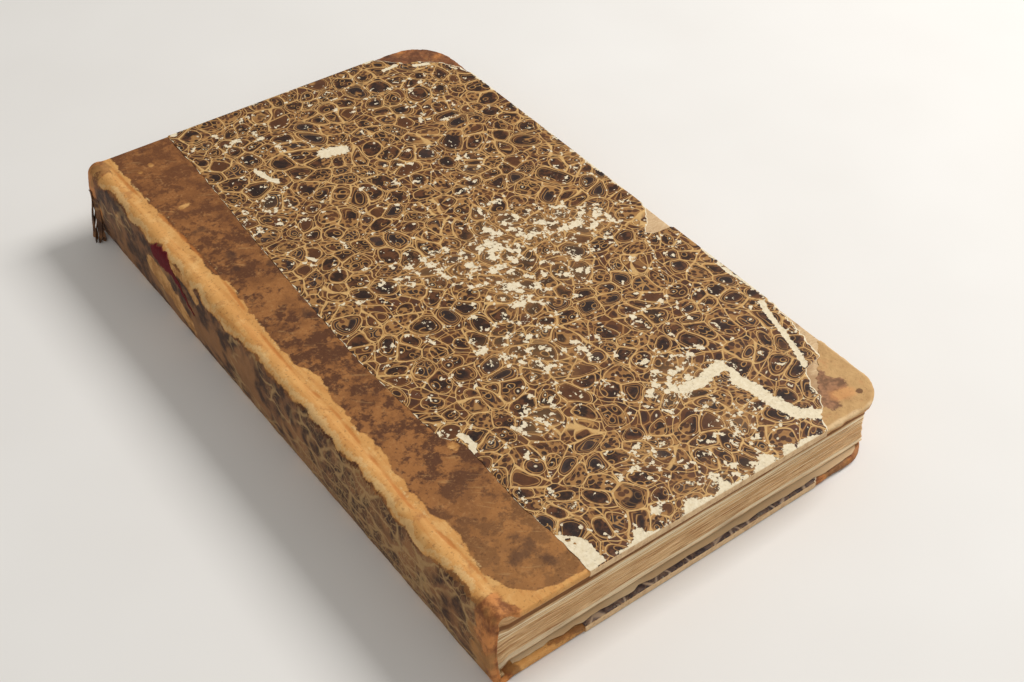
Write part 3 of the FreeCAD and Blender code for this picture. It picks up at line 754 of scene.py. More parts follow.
def pages():
    """Rings round the block, one for each level, and a flyleaf closing it above and below.

    Each ring's sides stand out by its own leaf's amount, so the edges show leaves in relief.
    """
    levels, nx, ny = 128, 84, 100
    crest_x = RIDGE_X + (RIDGE_RADIUS - PAGES_UNDER_LEATHER) * math.cos(RIDGE_START)
    crest_z = RIDGE_Z + (RIDGE_RADIUS - PAGES_UNDER_LEATHER) * math.sin(RIDGE_START)
    level = np.linspace(0, 1, levels)[:, None]
    along = np.linspace(0, 1, nx)[None, :] ** 1.7
    back_z = SECTION_HEIGHT - crest_z + level * (2 * crest_z - SECTION_HEIGHT)
    fore_x = PAGE_FORE_X - FORE_EDGE_HOLLOW * (1 - (2 * level - 1) ** 2)
    x = back_of_pages(back_z) + along * (fore_x - back_of_pages(back_z))
    flare = np.clip((PAGE_JOINT_X - x) / (PAGE_JOINT_X - crest_x), 0, 1)
    top = page_top(x) + flare * (crest_z - page_top(PAGE_JOINT_X))
    floor = PAGE_INSET - flare * (PAGE_INSET - (SECTION_HEIGHT - crest_z))
    top = np.where(flare < 1, top, crest_z)
    z = floor + level * (top - floor)

    rng = np.random.default_rng(7)
    leaf = 0.16 * rng.uniform(-1, 1, (levels, 1)) + 0.12 * drift(11, 0.16, level)
    shrink = 0.35 * soft_step(np.abs(2 * level - 1), 0.94, 1.0)
    tail_side = leaf + 0.10 * rough(21, 30, x, level * 90) - shrink - 0.2
    head_side = leaf + 0.10 * rough(31, 30, x, level * 90) - shrink - 0.2
    y = np.linspace(-HALF_PAGES, HALF_PAGES, ny)
    inner = y[1:-1][None, :]
    fore_side = leaf + 0.12 * rough(41, 34, inner, level * 90) - shrink - 0.2

    def ring(px, py, pz):
        return np.stack(np.broadcast_arrays(px, py, pz), -1)

    tail_run = ring(x, -HALF_PAGES - tail_side, z)
    fore_run = ring(fore_x + fore_side, inner, z[:, -1:])
    head_run = ring(x[:, ::-1], HALF_PAGES + head_side[:, ::-1], z[:, ::-1])
    back_run = ring(x[:, :1], inner[:, ::-1], z[:, :1])
    body = np.concatenate([tail_run, fore_run, head_run, back_run], axis=1)
    k = body.shape[1]
    faces = quads(levels, k, closed=True)[:, ::-1].tolist()
    looks = [0] * len(faces)
    points = [body.reshape(-1, 3)]
    count = levels * k
    for at, turned in ((0, False), (levels - 1, True)):
        edge = np.zeros((nx, ny), int)
        base = at * k
        edge[:, 0] = base + np.arange(nx)
        edge[-1, 1:-1] = base + nx + np.arange(ny - 2)
        edge[:, -1] = (base + nx + ny - 2 + np.arange(nx))[::-1]
        edge[0, 1:-1] = (base + 2 * nx + ny - 2 + np.arange(ny - 2))[::-1]
        mid_x = np.repeat(x[at][1:-1, None], ny - 2, 1)
        mid_y = np.repeat(inner, nx - 2, 0)
        lift = 0.05 * rough(51 + at, 60, mid_x, mid_y) * (1 if turned else -1)
        mid_z = np.repeat(z[at][1:-1, None], ny - 2, 1) + np.minimum(lift, 0.12) * 0.5
        edge[1:-1, 1:-1] = count + np.arange((nx - 2) * (ny - 2)).reshape(nx - 2, ny - 2)
        points.append(np.stack([mid_x, mid_y, mid_z], -1).reshape(-1, 3))
        count += (nx - 2) * (ny - 2)
        cap = edge.ravel()[quads(nx, ny)]
        faces += (cap if turned else cap[:, ::-1]).tolist()
        looks += [1] * len(cap)
    points = np.concatenate(points)
    ring_level = np.repeat(np.linspace(0, 1, levels), k)
    middle = np.linalg.norm(np.diff(body[levels // 2], axis=0), axis=1)
    run = np.r_[np.tile(np.r_[0, np.cumsum(middle)], levels), np.zeros(count - levels * k)]
    share = np.r_[ring_level, np.zeros(count - levels * k)]
    flow = np.stack([run, share * 20, 0 * run], -1)
    bright = 0.6 * soft_step(-share, -0.2, -0.1)
    for strength, height, width in (
        (1.0, 0.605, 0.016), (1.0, 0.555, 0.014), (0.9, 0.50, 0.012), (0.7, 0.43, 0.01), (0.6, 0.33, 0.01)
    ):
        bright = bright + strength * swell(share, height, width)
    # Painted shade: darker towards the spine on the lower leaves, and a painted shadow band just under the
    # front board's tail edge.
    shade = 0.4 * soft_step(-points[:, 0], 20, 62) * soft_step(-share, -0.4, -0.1)
    overhang_shadow = soft_step(share, 0.635, 0.68) * (1 - soft_step(share, 0.70, 0.76))
    shade = shade + 1.3 * overhang_shadow * soft_step(-points[:, 1], 100, 104)
    reach_x = np.minimum(PAGE_FORE_X - points[:, 0], points[:, 0] - PAGE_JOINT_X)
    near = np.minimum(reach_x, HALF_PAGES - np.abs(points[:, 1]))
    edge_mark = 1 - soft_step(near + 3 * rough(61, 40, points[:, 0], points[:, 1]), 0, 14)
    marks = {"bright": bright, "shade": shade, "edge": edge_mark}
    make_piece(
        "pages", points, faces, "text_block", [PAGE_EDGES, ENDPAPER],
        flow=flow, marks=marks, replaces=["text_block"], face_look=looks,
    )


# The leather of the back and the joints, in two halves that meet in the middle of the spine.


def paper_left(v):
    """Where the marbled paper starts on the front board, up the board from its tail."""
    edge = through(
        v, (-14, 21.6), (1.4, 21.7), (11.7, 21.7), (26, 20.6), (47, 21.4), (50.5, 21.2), (56, 17.6),
        (64, 17.0), (91.5, 16.1), (124, 17.3), (160, 19.3), (190, 21.4), (218, 22.4), (232, 22.4),
    )
    return edge + 0.12 * rough(71, 7, v)


def plain_paper_left(v):
    """Where the marbled paper starts on the back board: a gentle bow."""
    return 21.8 - 4.4 * np.sin(np.clip(v / BOARD_HEIGHT, 0, 1) * math.pi) ** 2 + 0.12 * rough(72, 9, v)


PAPER_LEFT = {"front": paper_left, "back": plain_paper_left}
LEATHER_MARKS = ("band", "fringe", "crease", "spine", "cap", "pale", "stain")


def leather_marks(side, s, y):
    """Wear of the leather at s from the joint and y up the book. The front follows the photograph."""
    if side == "front":
        low = through(
            y, (108, -9), (101, -8), (91, -4.2), (79, -5.9), (64, -6.2), (60, -4.2), (51, -5.2),
            (43, -6.6), (36, -5.8), (27, -7.0), (13, -6.4), (3, -4.7), (-11, -5.5), (-21, -4.6),
            (-45, -4.8), (-56, -4.3), (-69, -6.1), (-79, -7.0), (-86, -5.1), (-95, -3.6), (-108, -6),
        )
        high = through(
            y, (108, 2.8), (85, 2.2), (55, 2.9), (37, 1.9), (32, 4.2), (22, 2.8), (-8, 1.8), (-15, 5.2),
            (-20, 3.8), (-36, 2.6), (-47, 3.9), (-57, 2.1), (-73, 2.1), (-81, 4.2), (-87, 2.4),
            (-95, 1.9), (-108, 4),
        )
        line = through(
            y, (108, 0.8), (90, 1.0), (74, 2.0), (59, 2.8), (31, 2.9), (7, 0.5), (-14, 0), (-30, 1.2),
            (-52, 0.1), (-67, -1.0), (-86, 0.8), (-108, 1),
        )
    else:
        low = -5.4 + 0.9 * drift(81, 24, y)
        high = 3.2 + 0.8 * drift(82, 30, y)
        line = 0.8 + 0.6 * drift(83, 50, y)
    low = low + 0.45 * rough(84, 13, y)
    high = high + 0.35 * rough(85, 9, y)
    body = soft_step(s, low - 1.8, low + 1.8) * (1 - soft_step(s, high - 1.6, high + 1.6))
    arc = through(
        s, (-6, -104.0), (0, -96.0), (2, -98.5), (4, -102.0), (8.2, -105.6), (13.2, -107.2), (30, -107.7)
    )
    tail_arc = 1 - soft_step(y, arc - 1.3, arc + 1.1)
    ends = soft_step(np.abs(y), 96.5, 101.5)
    band = np.maximum(body * (1 - 0.5 * ends * (s < 0)), tail_arc * soft_step(s, -1.5, 2.5))
    bottom = 0 * s
    around = s if side == "front" else -2 * HALF_BACK - s
    pale = stroke(around, y, 4.6, (-13.8, 63.0), (-15.2, 58.0), (-16.8, 53.0), (-19.0, 47.5), (-22.0, 43.0))
    pale = pale * soft_step(-around, 9.5, 11.5)
    stain = 0 * s
    if side == "front":
        pale = pale + strokes(
            s, y, (0.85, 1.8, (-6.0, 56.0), (-6.6, 49.0), (-6.4, 41.0), (-8.2, 35.0)),
            (0.6, 1.5, (5.5, 70.6), (12.0, 71.6)),
        )
        pale = pale + 0.85 * swell(s, -10.2, 0.7) * swell(y, 86.5, 1.6)
        pale = pale + 0.6 * spots(s, y, (11, 96.5, 2.0), (7, 95, 1.6))
        pale = pale + 0.75 * spots(s, y, (19.2, -57.5, 2.4))
        stain = 0.75 * spots(
            s, y, (7.8, 57.5, 4.0), (10.2, 42.5, 3.0), (17.5, 33, 2.5), (8.8, 36, 2.4), (15, 8, 3.5)
        )
        stain = stain + 0.5 * spots(s, y, (12, 104, 4.0), (16, -70, 4.0), (12, -88, 3.5), (6, 104.5, 2.5))
        stain = stain + 0.7 * spots(s, y, (15, -94.5, 4.2), (16.5, -101, 2.6), (9.5, -95.5, 3.4))
    else:
        bottom = 0.55 * swell(s, -3.4, 2.2) * (0.6 + 0.5 * drift(86, 18, y))
        bottom = np.maximum(bottom, 0.42 * soft_step(-y, 95, 104) * soft_step(s, 0, 4))
    fringe = np.maximum(0.8 * swell(s, low + 1.2, 1.5), 0.55 * swell(s, line + 1.2, 0.6)) * (1 - 0.7 * ends)
    crease = swell(s, line, 0.6) * (0.6 + 0.35 * rough(87, 22, y)) * (1 - soft_step(s, 4, 6))
    spine = 1 - soft_step(s, low - 2.4, low + 1.2)
    spine = spine * (1 - 0.75 * soft_step(np.abs(y), 101, 106))
    red = soft_step(np.abs(y) + 2.5 * drift(88, 9, y, s), 98, 104) * (1 - soft_step(s, -1.5, 3.0))
    red = red + 0.8 * swell(s, 1.0, 1.8) * swell(y, -107.5, 1.6)
    red = red + 0.2 * swell(np.abs(y), 108.4, 0.6) * (s > 2)
    values = (np.maximum(band, bottom), fringe, crease, spine, np.clip(red, 0, 1), pale, stain)
    return dict(zip(LEATHER_MARKS, values))


def leather_half(side):
    """One half of the leather: from the middle of the spine over the ridge and the joint on to the board.

    The grid runs along the section by s and from tail to head by a path that starts on the tail's turn-in,
    goes round the tail's fold, up the outside, round the head's fold and down the head's turn-in. A fold is
    half an ellipse between the outer skin and the turn-in, drawn out into a lip over the endband.
    """
    drawn_from, grid_end = 5, 25
    s = spaced((-HALF_BACK, -8, 0.62), (-8, 3, 0.36), (3, grid_end, 0.75))[:, None]
    turn = np.linspace(-math.pi / 2, math.pi / 2, 13)
    body = np.linspace(0, 1, 300)[1:-1]
    inside = np.linspace(0, 1, 6)[:-1]
    board = soft_step(s, -0.6, 1.8)
    tail_y = -SPINE_END + board * (TAIL_Y[side] + LEATHER_DEPTH + SPINE_END)
    head_edge = TAIL_Y[side] + BOARD_HEIGHT - LEATHER_DEPTH
    head_y = SPINE_END + board * (head_edge - SPINE_END)
    fold = PAGES_UNDER_LEATHER + board * (INNER_FACE - LEATHER_DEPTH - PAGES_UNDER_LEATHER)
    lip = 1.5 * soft_step(-s, 2.5, 8.0)
    reach = 0.62 + 0.1 * board
    round_y = reach * (1 - np.cos(turn) ** (1 - 0.35 * board))
    round_d = fold / 2 * (1 - np.sign(np.sin(turn)) * np.abs(np.sin(turn)) ** (1 - 0.4 * board))
    round_d = round_d + lip * np.cos(turn) ** 2
    run_in = TURN_IN * (1 - inside) + reach * inside
    flat = fold + 0 * run_in
    y = np.concatenate(
        [
            tail_y + run_in,
            tail_y + round_y,
            tail_y + reach + (head_y - tail_y - 2 * reach) * body,
            head_y - round_y[:, ::-1],
            head_y - run_in[:, ::-1],
        ],
        axis=1,
    )
    depth = np.concatenate([flat, round_d, 0 * s + 0 * body, round_d[:, ::-1], flat[:, ::-1]], axis=1)
    lap = PAPER_LEFT[side](y - TAIL_Y[side]) + LEATHER_LAP
    drawn = drawn_from + (s - drawn_from) * (lap - drawn_from) / (grid_end - drawn_from)
    s = np.where(s > drawn_from, drawn, s)
    x, z, nx, nz = leather_section(side, s)
    outside = (depth < 0.02) * 1.0
    lift = 0.05 * rough(91, 14, x, y, z) + 0.03 * rough(92, 3.5, x, y, z)
    for height in CORD_HEIGHTS:
        lift = lift + 0.22 * swell(y, height, 2.6) * swell(s, 0.6, 2.6)
        lift = lift + 0.12 * swell(y, height, 3.4) * swell(s, 7, 5)
    marks = leather_marks(side, s, y)
    lift = lift - 0.12 * marks["crease"] - 0.08 * marks["band"] * (s > 0)
    lift = lift + 0.12 * swell(s, lap - 2.9, 0.8)
    if side == "front":
        lift = lift - 0.7 * swell(s, -1.2, 1.3) * swell(y, -107.2, 0.9)
    lift = np.minimum(lift, 0.16 + 0.1 * (s < 0)) * outside
    dip = 0.1 * soft_step(s, lap - LEATHER_LAP, lap - 1.6) * outside
    push = depth + dip - lift
    outer = np.stack([x + nx * push, y, np.maximum(z + nz * push, 0)], -1)
    piece = make_skin(
        side + "_calf", outer, LEATHER_THICKNESS, None, CALF, marks, step=4,
        flip=side == "back", replaces=["spine_leather", side + "_leather"],
    )
    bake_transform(piece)


# The boards and what covers them.


def fold_over(distance, limit, radius, thickness):
    """A strip carried over an edge: flat, a quarter round, the edge, a quarter round, and back inside.

    The distance is measured along the strip. Returns the place across the board and the depth.
    """
    start = limit - radius
    quarter = radius * math.pi / 2
    side = thickness - 2 * radius
    a = np.clip(distance - start, 0, quarter) / radius
    b = np.clip(distance - start - quarter - side, 0, quarter) / radius
    down = np.clip(distance - start - quarter, 0, side)
    back = np.maximum(distance - start - 2 * quarter - side, 0)
    across = np.minimum(distance, start) + radius * (np.sin(a) + np.cos(b) - 1) - back
    depth = radius * (1 - np.cos(a)) + down + radius * np.sin(b)
    return across, depth


PAPER_ROUND = 0.55
FOLD_RUN = PAPER_ROUND * math.pi + PAPER_BACK - 2 * PAPER_ROUND
FULL_REACH = COVER_REACH - PAPER_ROUND + FOLD_RUN + TURN_IN - PAPER_ROUND


def torn_right(v):
    """Where the front paper ends: the tear at the tail, the bite, the leather at the head corner."""
    whole = FULL_REACH
    edge = through(
        v, (-20, 99.6), (0, 99.0), (3.4, 100.4), (9.6, 106.2), (14.3, 107.2), (19.9, 110.6),
        (20.6, 116.8), (21.5, 117.4), (25.3, 117.8), (31, 119.6), (36.4, 120.7), (44.4, 121.9),
        (51, 122.2), (54, whole), (85.9, whole), (87.0, 121.8), (87.6, 115.4), (89.5, 113.7),
        (93.5, 117.9), (98.7, 121.4), (102.5, 122.2), (106, whole), (189.5, whole), (191.5, 121.2),
        (195.3, 120.8), (201.8, 117.1), (207.1, 110.8), (207.6, 107.3), (213.3, 102.3),
        (216.8, 98.5), (240, 98.5),
    )
    return edge + 0.22 * rough(101, 3.2, v, octaves=3) * (edge < COVER_REACH + 1)


def mitred_right(v):
    """Where the back paper ends: along the two leather corners."""
    near = np.minimum(v, BOARD_HEIGHT - v)
    cut = 99.5 + np.maximum(near, 0)
    return np.where(near > 22.8, FULL_REACH, np.minimum(cut, COVER_REACH) + 0.15 * rough(102, 4, v))


def paper_wear(side, u, v, on_edge):
    """Marks of the marbled paper: rub for abraded print, chip for lost flakes, bare for worn folds."""
    fore = COVER_REACH - u
    rub = 0.3 * rough(111 if side == "front" else 112, 34, u, v)
    near = np.minimum(np.minimum(fore, v), BOARD_HEIGHT - v)
    chip = 0.32 * (1 - soft_step(near, 0, 4.0)) * (0.4 + 0.9 * drift(110, 13, u, v))
    if side == "front":
        rim = 1 - soft_step(np.minimum(fore, v), 0, 1.8)
        chip = chip + rim * (0.34 + 0.25 * rough(113, 15, u, v)) + 0.16 * (1 - soft_step(v, 0, 3.0))
        rub = rub + spots(
            u, v, (92, 116, 13), (72, 106, 16), (52, 112, 9), (66, 88, 9), (88, 89, 9), (104, 102, 8),
            (48, 77, 8), (42, 44, 6), (83, 38, 11), (82, 17, 8), (55, 21, 7), (60, 60, 12),
        )
        rub = rub + 0.5 * swell(v, 3, 5) * soft_step(u, 28, 40)
        chip = chip + strokes(
            u, v,
            (1.0, 2.2, (79.5, 33.0), (85, 32.2), (92.4, 34.2)),
            (1.0, 0.8, (92.4, 34.0), (94.4, 30.5), (93.0, 27.5)),
            (1.0, 2.3, (92.8, 27.4), (94.2, 21.9), (94.8, 14.9), (97.2, 8.6), (101.0, 5.6)),
            (1.0, 1.0, (119.6, 46.5), (117.8, 41.9), (115.8, 33.9), (113.5, 26.9), (111.2, 20.4)),
            (0.8, 0.6, (121.4, 66), (121.2, 59.9), (122.0, 54)),
            (1.0, 2.6, (57.6, 178.6), (63.4, 177.6)),
            (0.8, 1.0, (27, 137.6), (28.6, 135)),
            (0.9, 1.2, (36.0, 183.4), (36.8, 178.4), (38.5, 174.6)),
            (0.9, 1.0, (98.6, 208.4), (103.6, 208.7)),
            (0.9, 1.0, (108.8, 205), (113.4, 203.2)),
            (0.95, 1.2, (22.4, 53.4), (23.0, 49.0), (21.6, 47.0)),
            (0.7, 0.5, (102, 66), (113.5, 89.5)),
        )
        chip = chip + 0.8 * spots(
            u, v, (31, 182.4, 1.3), (37.2, 156.4, 1.2), (38.2, 123.4, 1.4), (83.2, 137.9, 1.2),
            (101, 199.4, 1.2), (104.8, 195.4, 1.3), (107, 189.9, 1.0), (94.8, 175.6, 1.1),
            (24.0, 215.6, 1.3), (89, 41.9, 1.8), (93.2, 42.4, 1.5), (80.8, 39.4, 1.8), (77.5, 46.9, 1.6),
            (91.8, 111.4, 1.8), (88, 126.9, 1.5), (73, 111.4, 2.2), (63.2, 107.4, 2.0), (54, 116.9, 1.8),
            (87.2, 87, 1.6), (46, 5.0, 2.0), (54, 1.5, 2.2), (65, 2.5, 2.0), (79, 2.2, 2.4),
            (38, 2.6, 1.8), (86, 1.5, 2.0), (104, 93.5, 1.2), (68, 90, 1.6),
        )
        patch = (1 - soft_step(u, 25.8, 27.4)) * (1 - soft_step(v - 0.9 * (24 - u), 10.2, 12.4))
        chip = chip + patch * (v > 0.3) - 1.2 * spots(u, v, (23.2, 10.4, 0.7), (23.9, 8.4, 0.5))
    bare = 0.42 * on_edge + 0.25 * (1 - soft_step(near, 0.0, 1.4)) * (1 - on_edge)
    tail_fold = on_edge * (1 - soft_step(v, 0.5, 1.5))
    bare = bare + (0.45 * tail_fold + 0.12 * on_edge if side == "front" else 0.5 * tail_fold)
    return rub, chip, bare


def marbled_side(side, right_edge):
    """The paper on one board: one sheet over the face, round the edges, and turned in.

    Rows run up the board and columns across it, both measured along the sheet. Columns beyond a tear
    are gathered into its last stretch, which thins away like torn paper.
    """
    quarter = np.linspace(0, 1, 6) * PAPER_ROUND * math.pi / 2
    side_run = PAPER_BACK - 2 * PAPER_ROUND
    upright = quarter[-1] + side_run * np.linspace(0.2, 1, 5)
    fold = np.r_[quarter, upright, quarter[1:] + quarter[-1] + side_run]
    inward = fold[-1] + np.linspace(0, TURN_IN - PAPER_ROUND, 12)[1:]
    tail_rows = PAPER_ROUND - np.r_[fold, inward][::-1]
    if side == "front":
        face_rows = spaced(
            (PAPER_ROUND, 58, 0.62), (58, 84, 1.2), (84, 108, 0.6), (108, 186, 1.5),
            (186, BOARD_HEIGHT - PAPER_ROUND, 0.7),
        )
    else:
        face_rows = spaced((PAPER_ROUND, BOARD_HEIGHT - PAPER_ROUND, 1.3))
    head_rows = BOARD_HEIGHT - PAPER_ROUND + np.r_[fold, inward]
    rows = np.concatenate([tail_rows, face_rows[1:-1], head_rows])[:, None]
    fore_start = COVER_REACH - PAPER_ROUND
    first_col = 16.0
    face_cols = spaced((first_col, fore_start, 0.85 if side == "front" else 1.3))
    cols = np.concatenate([face_cols[:-1], fore_start + np.r_[fold, inward]])[None, :]

    place_v = np.where(rows > BOARD_HEIGHT / 2, rows, BOARD_HEIGHT - rows)
    across, depth_v = fold_over(place_v, BOARD_HEIGHT, PAPER_ROUND, PAPER_BACK)
    v = np.where(rows > BOARD_HEIGHT / 2, across, BOARD_HEIGHT - across)
    left = PAPER_LEFT[side](rows)
    inner_face = depth_v > PAPER_BACK - 0.01
    mitre = np.where(inner_face, np.minimum(v, BOARD_HEIGHT - v), 0)
    right = right_edge(np.clip(rows, 0, BOARD_HEIGHT)) + mitre
    turned_in_end = 110.0
    right = np.where((rows < 0) | (rows > BOARD_HEIGHT), np.minimum(right, turned_in_end), right)
    fade = np.clip(1 - (cols - first_col) / 30.0, 0, 1) ** 2
    u = cols + (left - first_col) * fade
    torn_width = np.where(right < FULL_REACH - 0.5, 1.3, 0.05)
    share = np.clip((u - (right - torn_width)) / (FULL_REACH - right + torn_width), 0, 1)
    u = np.where(share > 0, right - torn_width + torn_width * np.sqrt(share), u)
    flat_u, depth_u = fold_over(u, COVER_REACH, PAPER_ROUND, PAPER_BACK)
    depth = np.maximum(depth_u, depth_v + 0 * depth_u)
    v = v + 0 * u
    face = depth < 0.01
    not_inside = depth < PAPER_BACK - 0.3
    on_edge = ((depth > 0.25) & not_inside) * 1.0
    lift = 0.035 * rough(121, 26, flat_u, v) + 0.012 * rough(122, 4, flat_u, v)
    torn = share * (right < COVER_REACH)
    if side == "front":
        lift = lift + 0.10 * swell(v, 89 + 0.5 * (flat_u - 113), 1.0) * soft_step(flat_u, 106, 113)
    rub, chip, bare = paper_wear(side, flat_u, v, on_edge)
    chip = chip * not_inside
    # A pale line along the paper's cut edge: partly its white core, partly a painted highlight.
    cut_edge_and_highlight = swell(u - left, 0.0, 0.32) * (0.55 + 0.3 * drift(123, 6, rows)) * face
    sink = 0.15 * torn + 0.05 * soft_step(chip, 0.3, 0.6) - np.clip(lift, -0.08, 0.1)
    depth = depth + sink * face
    x, z = on_cover(side, flat_u, depth)
    outer = np.stack([x, v + TAIL_Y[side], np.maximum(z, 0)], -1)
    marks = {
        "rub": rub, "chip": chip, "torn": np.maximum(torn, cut_edge_and_highlight), "bare": bare,
        "fresh": soft_step(depth, PAPER_BACK - 0.5, PAPER_BACK),
    }
    shift = 0 if side == "front" else 400
    flow = np.stack([u + shift, rows + 0 * u, 0 * u], -1)
    make_skin(
        side + "_marbled_side", outer, np.where(share > 0, 0.1, 0.18), side + "_cover",
        MARBLED, marks, step=3, flip=side == "front", flow=flow, replaces=[side + "_marbled_paper"],
    )


def board_outline(inset):
    """The board's outline, inset evenly, from the joint at the tail round by the fore edge and the head."""
    left, right = BOARD_START + inset, COVER_REACH - inset
    low, high = inset, BOARD_HEIGHT - inset
    r_tail, r_head = (max(CORNER_RADIUS[end] - inset, 0.2) for end in ("tail", "head"))

    def line(a, b, count):
        t = np.linspace(0, 1, count, endpoint=False)[:, None]
        return np.array(a) + t * (np.array(b) - np.array(a))

    def arc(cx, cy, radius, start, count):
        turn = start + np.linspace(0, math.pi / 2, count, endpoint=False)
        return np.stack([cx + radius * np.cos(turn), cy + radius * np.sin(turn)], -1)

    return np.concatenate(
        [
            line((left, low), (right - r_tail, low), 100),
            arc(right - r_tail, low + r_tail, r_tail, -math.pi / 2, 22),
            line((right, low + r_tail), (right, high - r_head), 170),
            arc(right - r_head, high - r_head, r_head, 0, 26),
            line((right - r_head, high), (left, high), 100),
            line((left, high), (left, low), 100),
        ]
    )


def pasteboard(side):
    """A board: rings of its outline from the middle of one face, over worn edges, to the other face."""
    radius = 0.75
    top, bottom = 0.3, 2.4
    turn = np.linspace(0, math.pi / 2, 7)
    face_insets = np.r_[24.0, 20.0, 17.0, np.arange(14.0, 2.0, -1.2), 1.6]
    insets = np.r_[
        face_insets, radius * (1 - np.sin(turn)), radius * (1 - np.cos(turn[1:-1])), face_insets[::-1]
    ]
    depths = np.r_[
        np.full(len(face_insets), top), top + radius * (1 - np.cos(turn)),
        bottom - radius + radius * np.sin(turn[1:-1]), np.full(len(face_insets), bottom),
    ]
    rings = np.stack([board_outline(BOARD_SHRINK + inset) for inset in insets])
    u, v = rings[..., 0], rings[..., 1]
    depth = depths[:, None] + 0 * u
    under_side = 1 - soft_step(u, PAPER_LEFT[side](v) + 0.6, PAPER_LEFT[side](v) + LEATHER_LAP)
    from_corner = COVER_REACH - u + np.minimum(v, BOARD_HEIGHT - v)
    under = np.maximum(under_side, 1 - soft_step(from_corner, 25.4, 26.6))
    depth = depth + 0.27 * under * (depth < 1.0)
    wear = 0.10 * rough(131, 5, u, v, depth * 2) + 0.06 * rough(132, 1.6, u, v, depth * 3)
    wear = np.clip(wear, -0.3, 0.12) * soft_step(-insets, -2.0, 0.0)[:, None]
    off_u, off_v = u - u.mean(), v - v.mean()
    u = u + np.sign(off_u) * (np.abs(off_u) > 50) * wear
    v = v + np.sign(off_v) * (np.abs(off_v) > 96) * wear
    depth = depth + 0.05 * rough(133, 4, u, v) * np.where(depth < 1.2, 1, -1)
    x, z = on_cover(side, u, depth)
    rings = np.stack([x, v + TAIL_Y[side], z], -1)
    make_rings(
        side + "_pasteboard", rings, side == "back", side + "_cover", BOARD, [side + "_board"]
    )


def leather_corner(side, end):
    """A leather corner: from its slanting edge on the face, over the rounded corner, to its edge inside.

    Along the outline by e and across the corner by f. Here p and q are the distances from the fore edge
    and from the tail or head. The slanting edge is the outline's point carried at 45 degrees to where
    p and q add up to the leg.
    """
    radius = CORNER_RADIUS[end]
    run = CORNER_LEG - 1.6 - radius
    e = np.linspace(0, 2 * run + radius * math.pi / 2, 110)

    def outline(inset):
        r = radius - inset
        turn = np.clip((e - run) / radius, 0, math.pi / 2)
        p = inset + r - r * np.sin(turn) + np.maximum(run - e, 0)
        q = inset + r - r * np.cos(turn) + np.maximum(e - run - radius * math.pi / 2, 0)
        return np.stack([p, q], -1)

    bend = np.linspace(0, math.pi / 2, 6)
    edge = 0.8
    base = outline(LEATHER_DEPTH + edge)
    spread = np.maximum(CORNER_LEG + 0.5 * rough(141, 6, e) - base.sum(-1), 0.3)[:, None] / 2
    slant = base + spread
    share = np.linspace(0, 1, 22)[:-1]
    face_rows = [slant + f * (base - slant) for f in share]
    round_rows = [outline(LEATHER_DEPTH + edge * (1 - math.sin(a))) for a in bend]
    lower_rows = [outline(LEATHER_DEPTH + edge * (1 - math.cos(a))) for a in bend[1:]]
    rows = np.stack(face_rows + round_rows + lower_rows + face_rows[::-1])
    depths = np.concatenate(
        [
            np.full(len(face_rows), LEATHER_DEPTH),
            LEATHER_DEPTH + edge * (1 - np.cos(bend)),
            INNER_FACE - edge + edge * np.sin(bend[1:]),
            np.full(len(face_rows), INNER_FACE),
        ]
    )[:, None]
    p, q = rows[..., 0], rows[..., 1]
    seed = 151 + 7 * (side == "back") + 3 * (end == "head")
    worn = 0.09 * rough(seed, 6, p, q, depths) + 0.05 * rough(seed + 1, 1.8, p, q, depths)
    near_edge = soft_step(-np.minimum(p, q), -2.5, 0)
    u = COVER_REACH - p + worn * near_edge * (p < q)
    v = q - worn * near_edge * (q < p)
    outer_half = depths < 1.3
    on_face = np.where(outer_half, -1.0, 1.0) * (1 - near_edge)
    depth = depths + np.clip(worn, -0.1, 0.1) * on_face
    photographed = side == "front" and end == "tail"
    if photographed:
        curl = swell(p + q, 4.0, 5.0) * soft_step(depths, 1.9, 2.5) * near_edge
        u = u + 0.5 * curl
        v = v - 0.2 * curl
        depth = depth + 0.7 * curl
    outer_face = outer_half * (1 - near_edge)
    if photographed:
        skin = spots(u, v, (110.6, 17.8, 4.0), (108.4, 12.0, 4.0), (113.4, 10.6, 2.8), (106.5, 6.0, 2.9))
        amber = spots(u, v, (113.4, 7.0, 3.0), (109.5, 7.6, 3.0))
        marks = {
            "skin": 0.8 * skin * outer_face,
            "amber": 0.8 * amber * outer_face + 0.9 * (depths > 1.9),
            "stain": spots(u, v, (116.0, 5.4, 1.2)) * outer_face,
            "rim": near_edge * (depths < 1.6) * (0.8 + 0.4 * drift(seed + 3, 7, p, q)),
        }
        look = WORN_CORNER
    else:
        marks = dict.fromkeys(LEATHER_MARKS, 0.0)
        marks["band"] = 0.5 * near_edge * (0.7 + 0.5 * drift(seed + 3, 7, p, q, depths))
        marks["cap"] = 0.22 + 0.3 * drift(seed + 4, 10, p, q)
        marks["stain"] = 0.4 * drift(seed + 5, 8, p, q)
        look = CORNER_CALF
    if end == "head":
        v = BOARD_HEIGHT - v
    x, z = on_cover(side, u, depth)
    outer = np.stack([x, v + TAIL_Y[side], z], -1)
    turned = (side == "front") != (end == "head")
    make_skin(
        f"{side}_{end}_calf_corner", outer, LEATHER_THICKNESS, side + "_cover",
        look, marks, flip=not turned, replaces=[f"{side}_{end}_corner"],
    )


